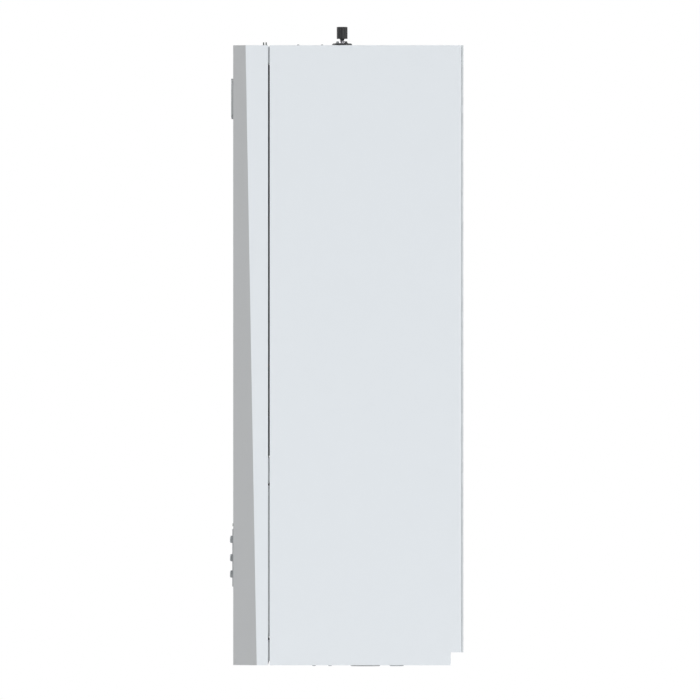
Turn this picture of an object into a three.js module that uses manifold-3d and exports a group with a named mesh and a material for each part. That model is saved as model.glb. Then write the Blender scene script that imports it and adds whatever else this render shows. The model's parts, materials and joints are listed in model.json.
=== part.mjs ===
// A wall-hung, room-sealed gas boiler for heating and hot water.
// Millimetres, +Z up. The origin is the middle of the flat back face, which lies on the wall.
// The front of the boiler looks along -Y, so every place in front of the wall has a negative y.

import * as THREE from "three";
import { mergeVertices } from "three/addons/utils/BufferGeometryUtils.js";
import Module from "manifold-3d";

const wasm = await Module();
wasm.setup();

// Driving sizes
const casingWidth = 400;
const casingHeight = 700;
const casingDepth = 260;
const sheet = 1.2; // thickness of the painted steel sheet
const fit = 0.3; // gap between two pieces that are put together
const overrun = 20; // how far a cut runs past the piece that it cuts

// Numbers of flats on round forms
const fineSides = 24;
const roundSides = 16;
const smallSides = 10;
const bendSteps = 3;

// The planes that the whole casing is laid out from
const right = casingWidth / 2;
const top = casingHeight / 2;
const bottom = -top;
const front = -casingDepth;

// Colours and finishes
const whitePaint = { color: 0xe9ebed, roughness: 0.4, metalness: 0 };
const greyPaint = { color: 0xc4c6c8, roughness: 0.45, metalness: 0 };
const galvanised = { color: 0xb9bdc0, roughness: 0.45, metalness: 0.8 };
const blackRubber = { color: 0x1c1c1d, roughness: 0.8, metalness: 0 };
const blackPlastic = { color: 0x232425, roughness: 0.5, metalness: 0 };
const greyPlastic = { color: 0xa9abad, roughness: 0.5, metalness: 0 };
const darkGlass = { color: 0x1b2426, roughness: 0.1, metalness: 0 };
const castAluminium = { color: 0xb4b6b8, roughness: 0.5, metalness: 0.9 };
const stainless = { color: 0xc5c7c8, roughness: 0.3, metalness: 1 };
const copper = { color: 0xb87350, roughness: 0.35, metalness: 1 };
const brass = { color: 0xc2a25c, roughness: 0.35, metalness: 1 };
const redPaint = { color: 0xa5251f, roughness: 0.45, metalness: 0 };
const redPlastic = { color: 0xb3261d, roughness: 0.45, metalness: 0 };
const ceramic = { color: 0xe6e2d8, roughness: 0.6, metalness: 0 };
const greenBoard = { color: 0x2c5b39, roughness: 0.5, metalness: 0 };

// Solids

// A closed three.js geometry as a solid, with its faces turned outwards.
function solid(geometry) {
  const bare = new THREE.BufferGeometry();
  bare.setAttribute("position", geometry.getAttribute("position"));
  bare.setIndex(geometry.getIndex());
  const merged = mergeVertices(bare);
  const vertProperties = new Float32Array(merged.getAttribute("position").array);
  const corners = merged.getIndex().array;
  const kept = [];
  for (let i = 0; i < corners.length; i += 3) {
    const [a, b, c] = [corners[i], corners[i + 1], corners[i + 2]];
    if (a !== b && b !== c && c !== a) kept.push(a, b, c);
  }
  const build = (triangles) => {
    const triVerts = new Uint32Array(triangles);
    return new wasm.Manifold(new wasm.Mesh({ numProp: 3, vertProperties, triVerts }));
  };
  const made = build(kept);
  return made.volume() < 0 ? build(kept.reverse()) : made;
}

// A box between two places on each axis.
function block([left, rightSide], [near, far], [low, high]) {
  const geometry = new THREE.BoxGeometry(1, 1, 1);
  const corner = geometry.getAttribute("position");
  for (let i = 0; i < corner.count; i++) {
    corner.setXYZ(
      i,
      corner.getX(i) < 0 ? left : rightSide,
      corner.getY(i) < 0 ? near : far,
      corner.getZ(i) < 0 ? low : high,
    );
  }
  return solid(geometry);
}

// An outline as a solid plate, square to an axis and lying between two places on it.
// The outline's two directions are x and y for axis z, x and z for axis y, and y and z for axis x.
function plate(axis, outline, from, to) {
  const geometry = new THREE.ExtrudeGeometry(outline, { depth: 1, bevelEnabled: false });
  const corner = geometry.getAttribute("position");
  for (let i = 0; i < corner.count; i++) {
    const u = corner.getX(i);
    const v = corner.getY(i);
    const w = corner.getZ(i) < 1 ? from : to;
    if (axis === "z") corner.setXYZ(i, u, v, w);
    if (axis === "y") corner.setXYZ(i, u, w, v);
    if (axis === "x") corner.setXYZ(i, w, u, v);
  }
  return solid(geometry);
}

// Points on an arc, from one angle to another.
function arc(u, v, radius, start, end, steps) {
  return Array.from({ length: steps + 1 }, (_, i) => {
    const angle = start + ((end - start) * i) / steps;
    return new THREE.Vector2(u + radius * Math.cos(angle), v + radius * Math.sin(angle));
  });
}

function circle(u, v, radius, sides = roundSides) {
  return new THREE.Shape(arc(u, v, radius, 0, 2 * Math.PI, sides).slice(1));
}

// A rectangle between two places each way, with corners rounded to a radius.
function rectangle([u0, u1], [v0, v1], radius = 0, steps = 2) {
  if (radius === 0) {
    return new THREE.Shape([
      new THREE.Vector2(u0, v0),
      new THREE.Vector2(u1, v0),
      new THREE.Vector2(u1, v1),
      new THREE.Vector2(u0, v1),
    ]);
  }
  const quarter = Math.PI / 2;
  return new THREE.Shape([
    ...arc(u1 - radius, v0 + radius, radius, -quarter, 0, steps),
    ...arc(u1 - radius, v1 - radius, radius, 0, quarter, steps),
    ...arc(u0 + radius, v1 - radius, radius, quarter, 2 * quarter, steps),
    ...arc(u0 + radius, v0 + radius, radius, 2 * quarter, 3 * quarter, steps),
  ]);
}

function cutOut(outline, ...holes) {
  outline.holes.push(...holes);
  return outline;
}

function disc(axis, u, v, radius, from, to, sides) {
  return plate(axis, circle(u, v, radius, sides), from, to);
}

// A profile of [radius, place along the axis] points, turned about an axis through u, v.
function turned(axis, u, v, profile, sides = roundSides) {
  const points = profile.map(([radius, along]) => new THREE.Vector2(radius, along));
  const geometry = new THREE.LatheGeometry(points, sides);
  const corner = geometry.getAttribute("position");
  for (let i = 0; i < corner.count; i++) {
    const a = u + corner.getX(i);
    const along = corner.getY(i);
    const b = v + corner.getZ(i);
    if (axis === "z") corner.setXYZ(i, a, b, along);
    if (axis === "y") corner.setXYZ(i, a, along, b);
    if (axis === "x") corner.setXYZ(i, along, a, b);
  }
  return solid(geometry);
}

// The middle line of a pipe: straight runs between the given points, with rounded corners.
// A corner takes at most these shares of an end run and of a run between two corners.
const endShare = 0.9;
const middleShare = 0.49;
class PipeRoute extends THREE.Curve {
  constructor(points, bend) {
    super();
    const places = points.map((p) => new THREE.Vector3(...p));
    const last = places.length - 1;
    const heading = (a, b) => b.clone().sub(a).normalize();
    this.stations = [[places[0], heading(places[0], places[1])]];
    for (let i = 1; i < last; i++) {
      const [before, corner, after] = places.slice(i - 1, i + 2);
      const roomBefore = corner.distanceTo(before) * (i === 1 ? endShare : middleShare);
      const roomAfter = corner.distanceTo(after) * (i === last - 1 ? endShare : middleShare);
      const reach = Math.min(bend, roomBefore, roomAfter);
      const start = corner.clone().addScaledVector(heading(corner, before), reach);
      const end = corner.clone().addScaledVector(heading(corner, after), reach);
      const curve = new THREE.QuadraticBezierCurve3(start, corner, end);
      for (let s = 0; s <= bendSteps; s++) {
        this.stations.push([curve.getPoint(s / bendSteps), curve.getTangent(s / bendSteps)]);
      }
    }
    this.stations.push([places[last], heading(places[last - 1], places[last])]);
  }
  station(share) {
    return this.stations[Math.round(share * (this.stations.length - 1))];
  }
  getPointAt(share) {
    return this.station(share)[0].clone();
  }
  getTangentAt(share) {
    return this.station(share)[1].clone();
  }
}

// A round bar along a route.
function tube(points, radius, bend, sides = smallSides) {
  const extrudePath = new PipeRoute(points, bend);
  const steps = extrudePath.stations.length - 1;
  return solid(new THREE.ExtrudeGeometry(circle(0, 0, radius, sides), { steps, extrudePath }));
}

// A skin over a row of rings, each a closed convex loop with the same number of points.
function loft(rings) {
  const sides = rings[0].length;
  const index = [];
  for (let r = 0; r < rings.length - 1; r++) {
    for (let i = 0; i < sides; i++) {
      const [a, b] = [r * sides + i, r * sides + ((i + 1) % sides)];
      index.push(a, b, b + sides, a, b + sides, a + sides);
    }
  }
  const last = (rings.length - 1) * sides;
  for (let i = 1; i < sides - 1; i++) {
    index.push(0, i + 1, i, last, last + i, last + i + 1);
  }
  const geometry = new THREE.BufferGeometry().setFromPoints(rings.flat());
  geometry.setIndex(index);
  return solid(geometry);
}

function join(first, ...others) {
  return others.reduce((whole, next) => whole.add(next), first);
}

function cut(first, ...others) {
  return others.reduce((whole, next) => whole.subtract(next), first);
}

// The assembly

const boiler = new THREE.Group();

// Adds a solid as a named mesh, to the boiler or to a group of it.
function addPiece(name, shape, look, parent = boiler) {
  const { vertProperties, triVerts } = shape.getMesh();
  const geometry = new THREE.BufferGeometry();
  geometry.setAttribute("position", new THREE.BufferAttribute(vertProperties, 3));
  geometry.setIndex(new THREE.BufferAttribute(triVerts, 1));
  geometry.computeVertexNormals();
  const mesh = new THREE.Mesh(geometry, new THREE.MeshStandardMaterial(look));
  mesh.name = name;
  parent.add(mesh);
  return mesh;
}

// An empty group with its own origin somewhere in the boiler.
function placeGroup(x, y, z) {
  const group = new THREE.Group();
  group.position.set(x, y, z);
  boiler.add(group);
  return group;
}

const span = (middle, half) => [middle - half, middle + half];

// Places that several sub-assemblies share

const backThickness = 2.3; // the back panel
const coverDepth = 39.4;
const coverGap = 1.8; // open gap between the cover and the casing
const sideFlange = 14; // width of the edges that are turned in, all round the casing
const notchDepth = 14.3; // corner left open at the bottom of the wall side
const notchHeight = 14.6;

const wallInside = -backThickness; // front face of the back panel
const coverRim = front + coverDepth; // back edge of the cover
const casingRim = coverRim + coverGap; // front edge of the casing
const inside = right - sheet; // inner face of a side panel
const flangeEdge = right - sideFlange; // inner edge of a side panel's flange
const frameReach = flangeEdge - fit; // half width of what fits between the two side flanges

// Gasket of the sealed chamber
const gasketDrop = 22.4; // from the top of the casing to the top of the gasket
const gasketShare = 0.7; // of the casing's height that the gasket takes, but for its margin
const gasketMargin = 48.9;
const gasketHeight = casingHeight * gasketShare - gasketMargin;
const gasketBar = 6.2;
const gasketEarInset = 2.5; // from the side of the casing to the end of a level bar
const gasketSideInset = 16; // from the side of the casing to the upright bar
const sealMargin = 3.5; // steel seen on both sides of the gasket
const gasketTop = top - gasketDrop;
const gasketBottom = gasketTop - gasketHeight;
const sealHalf = right - gasketSideInset - gasketBar - sealMargin; // half width of the opening
const sealLow = gasketBottom + gasketBar + sealMargin;
const sealHigh = gasketTop - gasketBar - sealMargin;
const floorTop = gasketBottom + gasketBar; // top of the chamber floor

// Flue, vent and exchanger
const flueSet = 14.45; // flue in front of the middle of the top panel
const flueY = (wallInside + casingRim) / 2 - flueSet;
const flueHoleRadius = 56;
const ventInset = 50; // from the side of the casing
const ventSet = 12; // vent in front of the flue
const ventX = right - ventInset;
const ventY = flueY - ventSet;
const ventHoleRadius = 5;
const exchangerShare = 0.25; // of the casing's height that lies over the exchanger's middle
const exchangerMargin = 25;
const exchangerDrop = casingHeight * exchangerShare + exchangerMargin;
const exchangerRadius = 84; // outside of the shell
const vesselStudLength = 7.4;
const vesselGap = 10; // between the vessel and the exchanger
const fanRoom = 74; // in front of the exchanger, for its door and the fan
const vesselShare = 0.4; // of the depth that the vessel and the exchanger have together
const sharedDepth =
  casingDepth - backThickness - fit - vesselStudLength - vesselGap - fanRoom;
const vesselDepth = sharedDepth * vesselShare; // expansion vessel
const exchangerDepth = sharedDepth - vesselDepth;
const exchangerZ = top - exchangerDrop;
const vesselRear = wallInside - fit - vesselStudLength;
const vesselFront = vesselRear - vesselDepth;
const exchangerBack = vesselFront - vesselGap;
const exchangerFront = exchangerBack - exchangerDepth;

// Pipe connections, from left to right: heating flow, hot water, gas, cold water, heating return
const connectionPitch = 65;
const connectionY = -110.8;
const pipeRadius = 9;
const pipeBend = 30;
const stubInset = 26; // water stubs behind the front of the exchanger
const returnPipeInset = 50; // from the side of the casing
const gasRiserInset = 85;
const gasRiserSet = 70; // behind the front of the casing
const flowPipeX = -2 * connectionPitch; // where each pipe passes the chamber floor
const flowPipeY = exchangerFront + stubInset;
const returnPipeX = right - returnPipeInset;
const returnPipeY = flowPipeY;
const gasRiserX = right - gasRiserInset;
const gasRiserY = front + gasRiserSet;
const gasPipeRadius = 8;
const trapInset = 26.8; // from the side panel to the middle of the trap
const trapX = inside - trapInset;
const trapY = -75.4;
const hoseRadius = 8;
const floorHoleClearance = 3;

// Union nuts and the flanged tails that they hold
const nutWidth = 30.6; // across two flats
const nutHeight = 18.7;
const nutDrop = 1.7; // how far the nuts stand below the casing
const tailRadius = 10;
const tailBore = 7.7;
const tailFlangeRadius = 12.6;
const tailFlangeHeight = 3;
const tailFlangeRecess = 6.7; // from the mouth of the nut up to the tail's flat end
const nutBottom = bottom - nutDrop;
const nutTop = nutBottom + nutHeight;
const tailEnd = nutBottom + tailFlangeRecess;
const nutHoleRadius = nutWidth / Math.sqrt(3) + fit;

// Condensate outlet
const outletRadius = 8.2;
const outletDrop = 0.6;

// Control panel and what shows of it in the cover
const panelHalfWidth = 90;
const panelRise = 88; // from the bottom of the casing
const panelHeight = 65;
const panelProud = 1.1;
const windowFit = 0.5; // clearance round the control panel in the cover
const lightHalfWidth = 6;
const lightRise = 2.8; // over the panel
const lightHeight = 3.5;
const lightProud = 0.9;
const panelBottom = bottom + panelRise;
const panelTop = panelBottom + panelHeight;
const lightBottom = panelTop + lightRise;
const lightTop = lightBottom + lightHeight;

// Front and back of the control box
const panelSetBack = 4; // from the cover's face to the base of the panel
const panelThickness = 2.2;
const boxDepth = 45.8;
const panelPlane = front + panelSetBack;
const panelRear = panelPlane + panelThickness;
const boxRear = panelRear + boxDepth;

// Back panel: a flat steel plate with two keyhole slots that hang on the wall hooks.
{
  const slotSpacing = 240;
  const slotDrop = 45;
  const slotRadius = 7;
  const slotNeck = 4; // half width of the narrow part
  const slotRise = 18;
  const floorOfPanel = bottom + notchHeight;
  const outline = rectangle([-right, right], [floorOfPanel, top]);
  const shape = plate("y", outline, wallInside, 0);
  const slots = [-1, 1].map((side) => {
    const x = (side * slotSpacing) / 2;
    const z = top - slotDrop;
    const round = disc("y", x, z, slotRadius, wallInside - overrun, overrun);
    const neck = block(span(x, slotNeck), [wallInside - overrun, overrun], [z, z + slotRise]);
    return join(round, neck);
  });
  addPiece("back_panel", cut(shape, ...slots), whitePaint);
}

// Side panels: one bent sheet each, with a flange turned in at the front and at the back.
{
  const profile = new THREE.Shape(
    [
      [right, wallInside],
      [right, casingRim],
      [flangeEdge, casingRim],
      [flangeEdge, casingRim + sheet],
      [inside, casingRim + sheet],
      [inside, wallInside - sheet],
      [flangeEdge, wallInside - sheet],
      [flangeEdge, wallInside],
    ].map(([x, y]) => new THREE.Vector2(x, y)),
  );
  const within = [flangeEdge - overrun, inside];
  const throughDepth = [casingRim - overrun, overrun];
  const ledge = bottom + notchHeight + sheet;
  const shape = cut(
    plate("z", profile, bottom, top),
    block(within, throughDepth, [top - sheet, top + overrun]),
    block(within, throughDepth, [bottom - overrun, bottom + sheet]),
    block(within, [-notchDepth, overrun], [bottom - overrun, ledge]),
    block([flangeEdge - overrun, right + overrun], [-notchDepth, overrun],
      [bottom - overrun, bottom + notchHeight]),
  );
  addPiece("side_panel_right", shape, whitePaint);
  addPiece("side_panel_left", shape, whitePaint).scale.x = -1;
}

// Top panel: flanged down at the front, with the flue opening, the vent hole and two pressed pips.
{
  const pipInset = 32; // from the front of the panel to the first pip
  const pipPitch = 27.1;
  const pipPlaces = [casingRim + pipInset, casingRim + pipInset + pipPitch];
  const pipRadius = 2.2;
  const pipHeight = 0.8;
  const pipCrownShare = 0.5;
  const pipX = right / 2;
  const outline = cutOut(
    rectangle([-inside, inside], [casingRim, wallInside]),
    circle(0, flueY, flueHoleRadius, fineSides),
    circle(ventX, ventY, ventHoleRadius, smallSides),
  );
  const pips = pipPlaces.map((y) =>
    turned("z", pipX, y, [
      [0, top - sheet],
      [pipRadius, top - sheet],
      [pipRadius, top],
      [pipRadius * pipCrownShare, top + pipHeight],
      [0, top + pipHeight],
    ], smallSides),
  );
  const shape = join(
    plate("z", outline, top - sheet, top),
    block([-frameReach, frameReach], [casingRim, casingRim + sheet], [top - sideFlange, top]),
    ...pips,
  );
  addPiece("top_panel", shape, whitePaint);
}

// Bottom panel: bent up and back along the open corner at the wall, with the connection holes.
{
  const ledge = bottom + notchHeight;
  const profile = new THREE.Shape(
    [
      [casingRim, bottom],
      [-notchDepth, bottom],
      [-notchDepth, ledge],
      [wallInside, ledge],
      [wallInside, ledge + sheet],
      [-notchDepth - sheet, ledge + sheet],
      [-notchDepth - sheet, bottom + sheet],
      [casingRim, bottom + sheet],
    ].map(([y, z]) => new THREE.Vector2(y, z)),
  );
  const nutHoles = [-2, -1, 0, 1, 2].map((step) =>
    disc("z", step * connectionPitch, connectionY, nutHoleRadius, bottom - overrun, bottom + overrun),
  );
  const shape = cut(
    join(
      plate("x", profile, -inside, inside),
      block([-frameReach, frameReach], [casingRim, casingRim + sheet], [bottom, bottom + sideFlange]),
    ),
    disc("z", trapX, trapY, outletRadius + fit, bottom - overrun, bottom + sheet + fit),
    ...nutHoles,
  );
  addPiece("bottom_panel", shape, whitePaint);
}

// Front frame, floor and gasket of the sealed chamber.
{
  const opening = rectangle([-sealHalf, sealHalf], [sealLow, sealHigh]);
  const edge = rectangle([-frameReach, frameReach], [gasketBottom - sealMargin, top - sideFlange - fit]);
  const frame = plate("y", cutOut(edge, opening), casingRim, casingRim + sheet);
  addPiece("chamber_frame", frame, galvanised);

  const floorDepth = [casingRim + sheet + fit, wallInside - sheet - fit];
  const floor = cutOut(
    rectangle([-inside + fit, inside - fit], floorDepth),
    circle(flowPipeX, flowPipeY, pipeRadius + floorHoleClearance, roundSides),
    circle(returnPipeX, returnPipeY, pipeRadius + floorHoleClearance, roundSides),
    circle(gasRiserX, gasRiserY, gasPipeRadius + floorHoleClearance, roundSides),
    circle(trapX, trapY, hoseRadius + floorHoleClearance, roundSides),
  );
  addPiece("chamber_floor", plate("z", floor, floorTop - sheet, floorTop), galvanised);

  const earHalf = right - gasketEarInset;
  const sideHalf = right - gasketSideInset;
  const openHalf = sideHalf - gasketBar;
  const depth = [casingRim - coverGap + fit, casingRim];
  const level = (z) => block([-earHalf, earHalf], depth, [z, z + gasketBar]);
  const upright = (x) => block([x, x + gasketBar], depth, [gasketBottom, gasketTop]);
  const gasket = join(
    level(gasketTop - gasketBar),
    level(gasketBottom),
    upright(openHalf),
    upright(-sideHalf),
  );
  addPiece("chamber_gasket", gasket, blackRubber);
}

// Front cover: a shell with two bevelled sides. The bevels widen towards the bottom along a curve.
const bevelTop = 14; // depth of the bevel at the top of the cover
const bevelBottom = 26.6;
const bevelCurve = 1.4; // exponent of the widening
const bevelWidthShare = 0.8; // width over depth of the bevel
const bevelRings = 8;

// One level outline of the cover, drawn in by the given wall and open towards the back.
function coverRing(z, wall, rear) {
  const fall = (top - z) / casingHeight;
  const depth = bevelTop + (bevelBottom - bevelTop) * Math.max(fall, 0) ** bevelCurve;
  const width = depth * bevelWidthShare;
  const slope = Math.hypot(depth, width);
  const side = right - wall;
  const face = front + wall;
  const sideEdge = front + depth + (wall * (slope - depth)) / width;
  const faceEdge = right - width - (wall * (slope - width)) / depth;
  return [
    [-side, rear],
    [-side, sideEdge],
    [-faceEdge, face],
    [faceEdge, face],
    [side, sideEdge],
    [side, rear],
  ].map(([x, y]) => new THREE.Vector3(x, y, z));
}

function coverBody(low, high, wall, rear) {
  const rings = Array.from({ length: bevelRings + 1 }, (_, i) =>
    coverRing(low + ((high - low) * i) / bevelRings, wall, rear),
  );
  return loft(rings);
}

// Clips at the back edge of the cover's top
const clipInset = 50; // from the side of the casing
const clipX = right - clipInset;
const clipHalf = 3;
const clipBase = 1.5;
const prongWidth = 1.5;
const prongGap = 1.4;
const prongHeight = 3.7;
const clipRear = coverRim - sheet - fit;
const clipFront = clipRear - 2 * prongWidth - prongGap;

{
  const throughFront = [front - overrun, front + sheet + overrun];
  const window = (halfWidth, low, high) =>
    block(
      [-halfWidth - windowFit, halfWidth + windowFit],
      throughFront,
      [low - windowFit, high + windowFit],
    );
  const sealEdge = rectangle(
    [-right + sheet / 2, right - sheet / 2],
    [gasketBottom - 2 * sealMargin, top - sheet / 2],
  );
  const opening = rectangle([-sealHalf, sealHalf], [sealLow, sealHigh]);
  const sealFrame = plate("y", cutOut(sealEdge, opening), coverRim - sheet, coverRim);
  const clipSlot = (x) =>
    block(
      span(x, clipHalf + fit),
      [clipFront - fit, clipRear + fit],
      [top - sheet - fit, top + overrun],
    );
  const shell = cut(
    coverBody(bottom, top, 0, coverRim),
    coverBody(bottom + sheet, top - sheet, sheet, coverRim + overrun),
  );
  const cover = cut(
    join(shell, sealFrame),
    window(panelHalfWidth, panelBottom, panelTop),
    window(lightHalfWidth, lightBottom, lightTop),
    clipSlot(clipX),
    clipSlot(-clipX),
  );
  addPiece("front_cover", cover, whitePaint);

  const clipTop = top + prongHeight;
  const clipUnder = top - sheet - fit - clipBase;
  const prong = (rear) =>
    block([-clipHalf, clipHalf], [rear - prongWidth, rear], [clipUnder, clipTop]);
  const clip = join(
    block([-2 * clipHalf, 2 * clipHalf], [clipFront, clipRear], [clipUnder, clipUnder + clipBase]),
    prong(clipRear),
    prong(clipFront + prongWidth),
  );
  addPiece("cover_clip_right", clip, galvanised).position.x = clipX;
  addPiece("cover_clip_left", clip, galvanised).position.x = -clipX;
}

// Badge plate: a bare plate on the face of the cover.
{
  const badgeHalfWidth = 55;
  const badgeDrop = 37;
  const badgeHeight = 44;
  const badgeThickness = 0.7;
  const badgeCorner = 3;
  const badgeTop = top - badgeDrop;
  const outline = rectangle(
    [-badgeHalfWidth, badgeHalfWidth],
    [badgeTop - badgeHeight, badgeTop],
    badgeCorner,
  );
  addPiece("cover_badge", plate("y", outline, front - badgeThickness, front), greyPaint);
}

// Flue collar: flush with the top panel, two sockets one in the other, joined by three ribs.
const collarSocketRadius = 32; // outside of the inner socket
const collarSocketWall = 3;
const collarDepth = 45;
{
  const flangeRadius = 64;
  const flangeHeight = 3;
  const rimRadius = 53;
  const rimWall = 3;
  const ribHalf = 1.5;
  const socketDrop = 8;
  const underPanel = top - sheet;
  const rimTop = top - fit;
  const low = underPanel - collarDepth;
  const outer = turned("z", 0, flueY, [
    [rimRadius - rimWall, low],
    [rimRadius, low],
    [rimRadius, underPanel - flangeHeight],
    [flangeRadius, underPanel - flangeHeight],
    [flangeRadius, underPanel],
    [rimRadius, underPanel],
    [rimRadius, rimTop],
    [rimRadius - rimWall, rimTop],
    [rimRadius - rimWall, low],
  ], fineSides);
  const inner = turned("z", 0, flueY, [
    [collarSocketRadius - collarSocketWall, low],
    [collarSocketRadius, low],
    [collarSocketRadius, underPanel - socketDrop],
    [collarSocketRadius - collarSocketWall, underPanel - socketDrop],
    [collarSocketRadius - collarSocketWall, low],
  ]);
  const ribDepth = [low, low + collarDepth / 2];
  const ribFrom = collarSocketRadius - collarSocketWall / 2;
  const ribTo = rimRadius - rimWall / 2;
  const ribs = [0, 1, 2].map((n) => {
    const angle = (2 * Math.PI * n) / 3 + Math.PI / 2;
    const along = new THREE.Vector2(Math.cos(angle), Math.sin(angle));
    const across = new THREE.Vector2(-along.y, along.x);
    const corner = (reach, side) =>
      along.clone().multiplyScalar(reach).addScaledVector(across, side * ribHalf)
        .add(new THREE.Vector2(0, flueY));
    const outline = [corner(ribFrom, -1), corner(ribTo, -1), corner(ribTo, 1), corner(ribFrom, 1)];
    return plate("z", new THREE.Shape(outline), ...ribDepth);
  });
  addPiece("flue_collar", join(outer, inner, ...ribs), castAluminium);
}

// Automatic air vent: its body hangs under the top panel and its stem and cap stand on it.
{
  const stemRadius = 3.1;
  const stemTop = 8.1; // above the top panel
  const flangeRadius = 11.3;
  const flangeHeight = 2.5;
  const bodyRadius = 15;
  const bodyHeight = 45;
  const tailpieceRadius = 5;
  const tailpieceHeight = 12;
  const capRadius = 6.1;
  const capLow = 7.6;
  const capHigh = 21.2;
  const capWall = 1.6;
  const capRibs = 12;
  const capRibDepth = 0.5;
  const capEdge = 1;
  const vent = placeGroup(ventX, ventY, top);
  const bodyTop = -sheet - fit;
  const bodyLow = bodyTop - bodyHeight;
  const body = turned("z", 0, 0, [
    [0, bodyLow - tailpieceHeight],
    [tailpieceRadius, bodyLow - tailpieceHeight],
    [tailpieceRadius, bodyLow],
    [bodyRadius, bodyLow],
    [bodyRadius, bodyTop],
    [stemRadius, bodyTop],
    [stemRadius, stemTop],
    [0, stemTop],
  ]);
  addPiece("air_vent_body", body, brass, vent);

  const flange = turned("z", 0, 0, [
    [stemRadius + fit, 0],
    [flangeRadius, 0],
    [flangeRadius, flangeHeight],
    [stemRadius + fit, flangeHeight],
    [stemRadius + fit, 0],
  ]);
  addPiece("air_vent_flange", flange, blackPlastic, vent);

  const facets = Array.from({ length: 2 * capRibs }, (_, i) => {
    const radius = capRadius - (i % 2) * capRibDepth;
    const angle = (Math.PI * i) / capRibs;
    return new THREE.Vector2(radius * Math.cos(angle), radius * Math.sin(angle));
  });
  const crown = turned("z", 0, 0, [
    [0, capHigh - capEdge],
    [capRadius - capRibDepth, capHigh - capEdge],
    [capRadius - capRibDepth - capEdge, capHigh],
    [0, capHigh],
  ]);
  const bore = disc("z", 0, 0, stemRadius + fit, capLow - overrun, stemTop + fit, smallSides);
  const skirt = plate("z", new THREE.Shape(facets), capLow, capHigh - capEdge);
  const hollow = disc("z", 0, 0, capRadius - capWall, capLow - overrun, stemTop, smallSides);
  addPiece("air_vent_cap", cut(join(skirt, crown), bore, hollow), blackPlastic, vent);
}

// Heat exchanger: a ribbed shell with its coil, carried by a cross bar between the side panels.
const shellWall = 6;
const doorFlangeRadius = 94;
const ductRadius = 28.7; // outside of the flue duct
const ductWall = 2.2;
const ductCupHeight = 12;
const stubReach = 104; // end of a water stub, from the middle
const stubDrop = 40; // half the height between the flow stub and the return stub
const sumpX = 60;
const sumpShare = 0.44; // of the exchanger's depth, from its back
const sumpY = exchangerBack - exchangerDepth * sumpShare;
const sumpDrop = 80; // from the exchanger's middle to the mouth of its sump
const sumpLow = exchangerZ - sumpDrop;
const ductCupTop = exchangerZ + exchangerRadius + ductCupHeight;
{
  const flangeDepth = 8;
  const ribHeight = 3;
  const ribDepth = 5;
  const ribPitchShare = 0.36; // of the exchanger's depth
  const ribInsetShare = 0.14;
  const ribPitch = exchangerDepth * ribPitchShare;
  const ribInset = exchangerDepth * ribInsetShare;
  const stubRadius = 12;
  const cupWall = 4;
  const sumpRadius = 11;
  const ribs = [0, 1].flatMap((n) => {
    const y = exchangerBack - ribInset - n * ribPitch;
    return [
      [exchangerRadius, y],
      [exchangerRadius + ribHeight, y],
      [exchangerRadius + ribHeight, y - ribDepth],
      [exchangerRadius, y - ribDepth],
    ];
  });
  const shell = turned("y", 0, exchangerZ, [
    [0, exchangerBack],
    [exchangerRadius, exchangerBack],
    ...ribs,
    [exchangerRadius, exchangerFront + flangeDepth],
    [doorFlangeRadius, exchangerFront + flangeDepth],
    [doorFlangeRadius, exchangerFront],
    [0, exchangerFront],
  ], fineSides);
  const cavity = disc("y", 0, exchangerZ, exchangerRadius - shellWall,
    exchangerFront - overrun, exchangerBack - shellWall, fineSides);
  const cupOuter = ductRadius + fit + cupWall;
  const rootShare = 0.5; // how far into the shell its stubs and cup begin
  const bodyMiddle = exchangerRadius * rootShare;
  const cup = disc("z", 0, flueY, cupOuter, exchangerZ + bodyMiddle, ductCupTop);
  const cupBore = disc("z", 0, flueY, ductRadius + fit, exchangerZ + exchangerRadius - fit,
    ductCupTop + overrun);
  const gasWay = disc("z", 0, flueY, ductRadius - ductWall, exchangerZ, ductCupTop + overrun);
  const stub = (side, z) => {
    const reach = [side * bodyMiddle, side * stubReach].sort((a, b) => a - b);
    return disc("x", flowPipeY, z, stubRadius, ...reach, smallSides);
  };
  const sump = disc("z", sumpX, sumpY, sumpRadius, sumpLow, exchangerZ - bodyMiddle, smallSides);
  const outside = join(
    shell,
    cup,
    sump,
    stub(-1, exchangerZ + stubDrop),
    stub(1, exchangerZ - stubDrop),
  );
  addPiece("heat_exchanger", cut(outside, cavity, gasWay, cupBore), greyPlastic);

  const coilInner = 58;
  const coilOuter = exchangerRadius - shellWall - 2 * fit;
  const turns = 4;
  const coilBack = exchangerBack - shellWall - fit;
  const coilLength = coilBack - exchangerFront - shellWall;
  const turnLength = coilLength / turns;
  const grooveShare = 0.18;
  const grooveDepth = 3;
  const outerProfile = Array.from({ length: turns }, (_, n) => {
    const y = coilBack - n * turnLength;
    return [
      [coilOuter, y - turnLength * grooveShare],
      [coilOuter, y - turnLength * (1 - grooveShare)],
      [coilOuter - grooveDepth, y - turnLength],
    ];
  }).flat();
  const coilEnd = coilBack - coilLength;
  const coil = turned("y", 0, exchangerZ, [
    [coilInner, coilBack],
    [coilOuter - grooveDepth, coilBack],
    ...outerProfile,
    [coilInner, coilEnd],
    [coilInner, coilBack],
  ], fineSides);
  addPiece("heat_coil", coil, stainless);

  const barHalf = 20;
  const barThickness = 2;
  const barTab = 25;
  const barRear = exchangerBack + fit + barThickness;
  const reach = inside - fit;
  const tab = (side) => {
    const ends = [side * reach, side * (reach - barThickness)].sort((a, b) => a - b);
    return block(ends, [exchangerBack + fit, barRear + barTab], span(exchangerZ, barHalf));
  };
  const bar = join(
    block([-reach, reach], [exchangerBack + fit, barRear], span(exchangerZ, barHalf)),
    tab(-1),
    tab(1),
  );
  addPiece("exchanger_crossbar", bar, galvanised);
}

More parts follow.
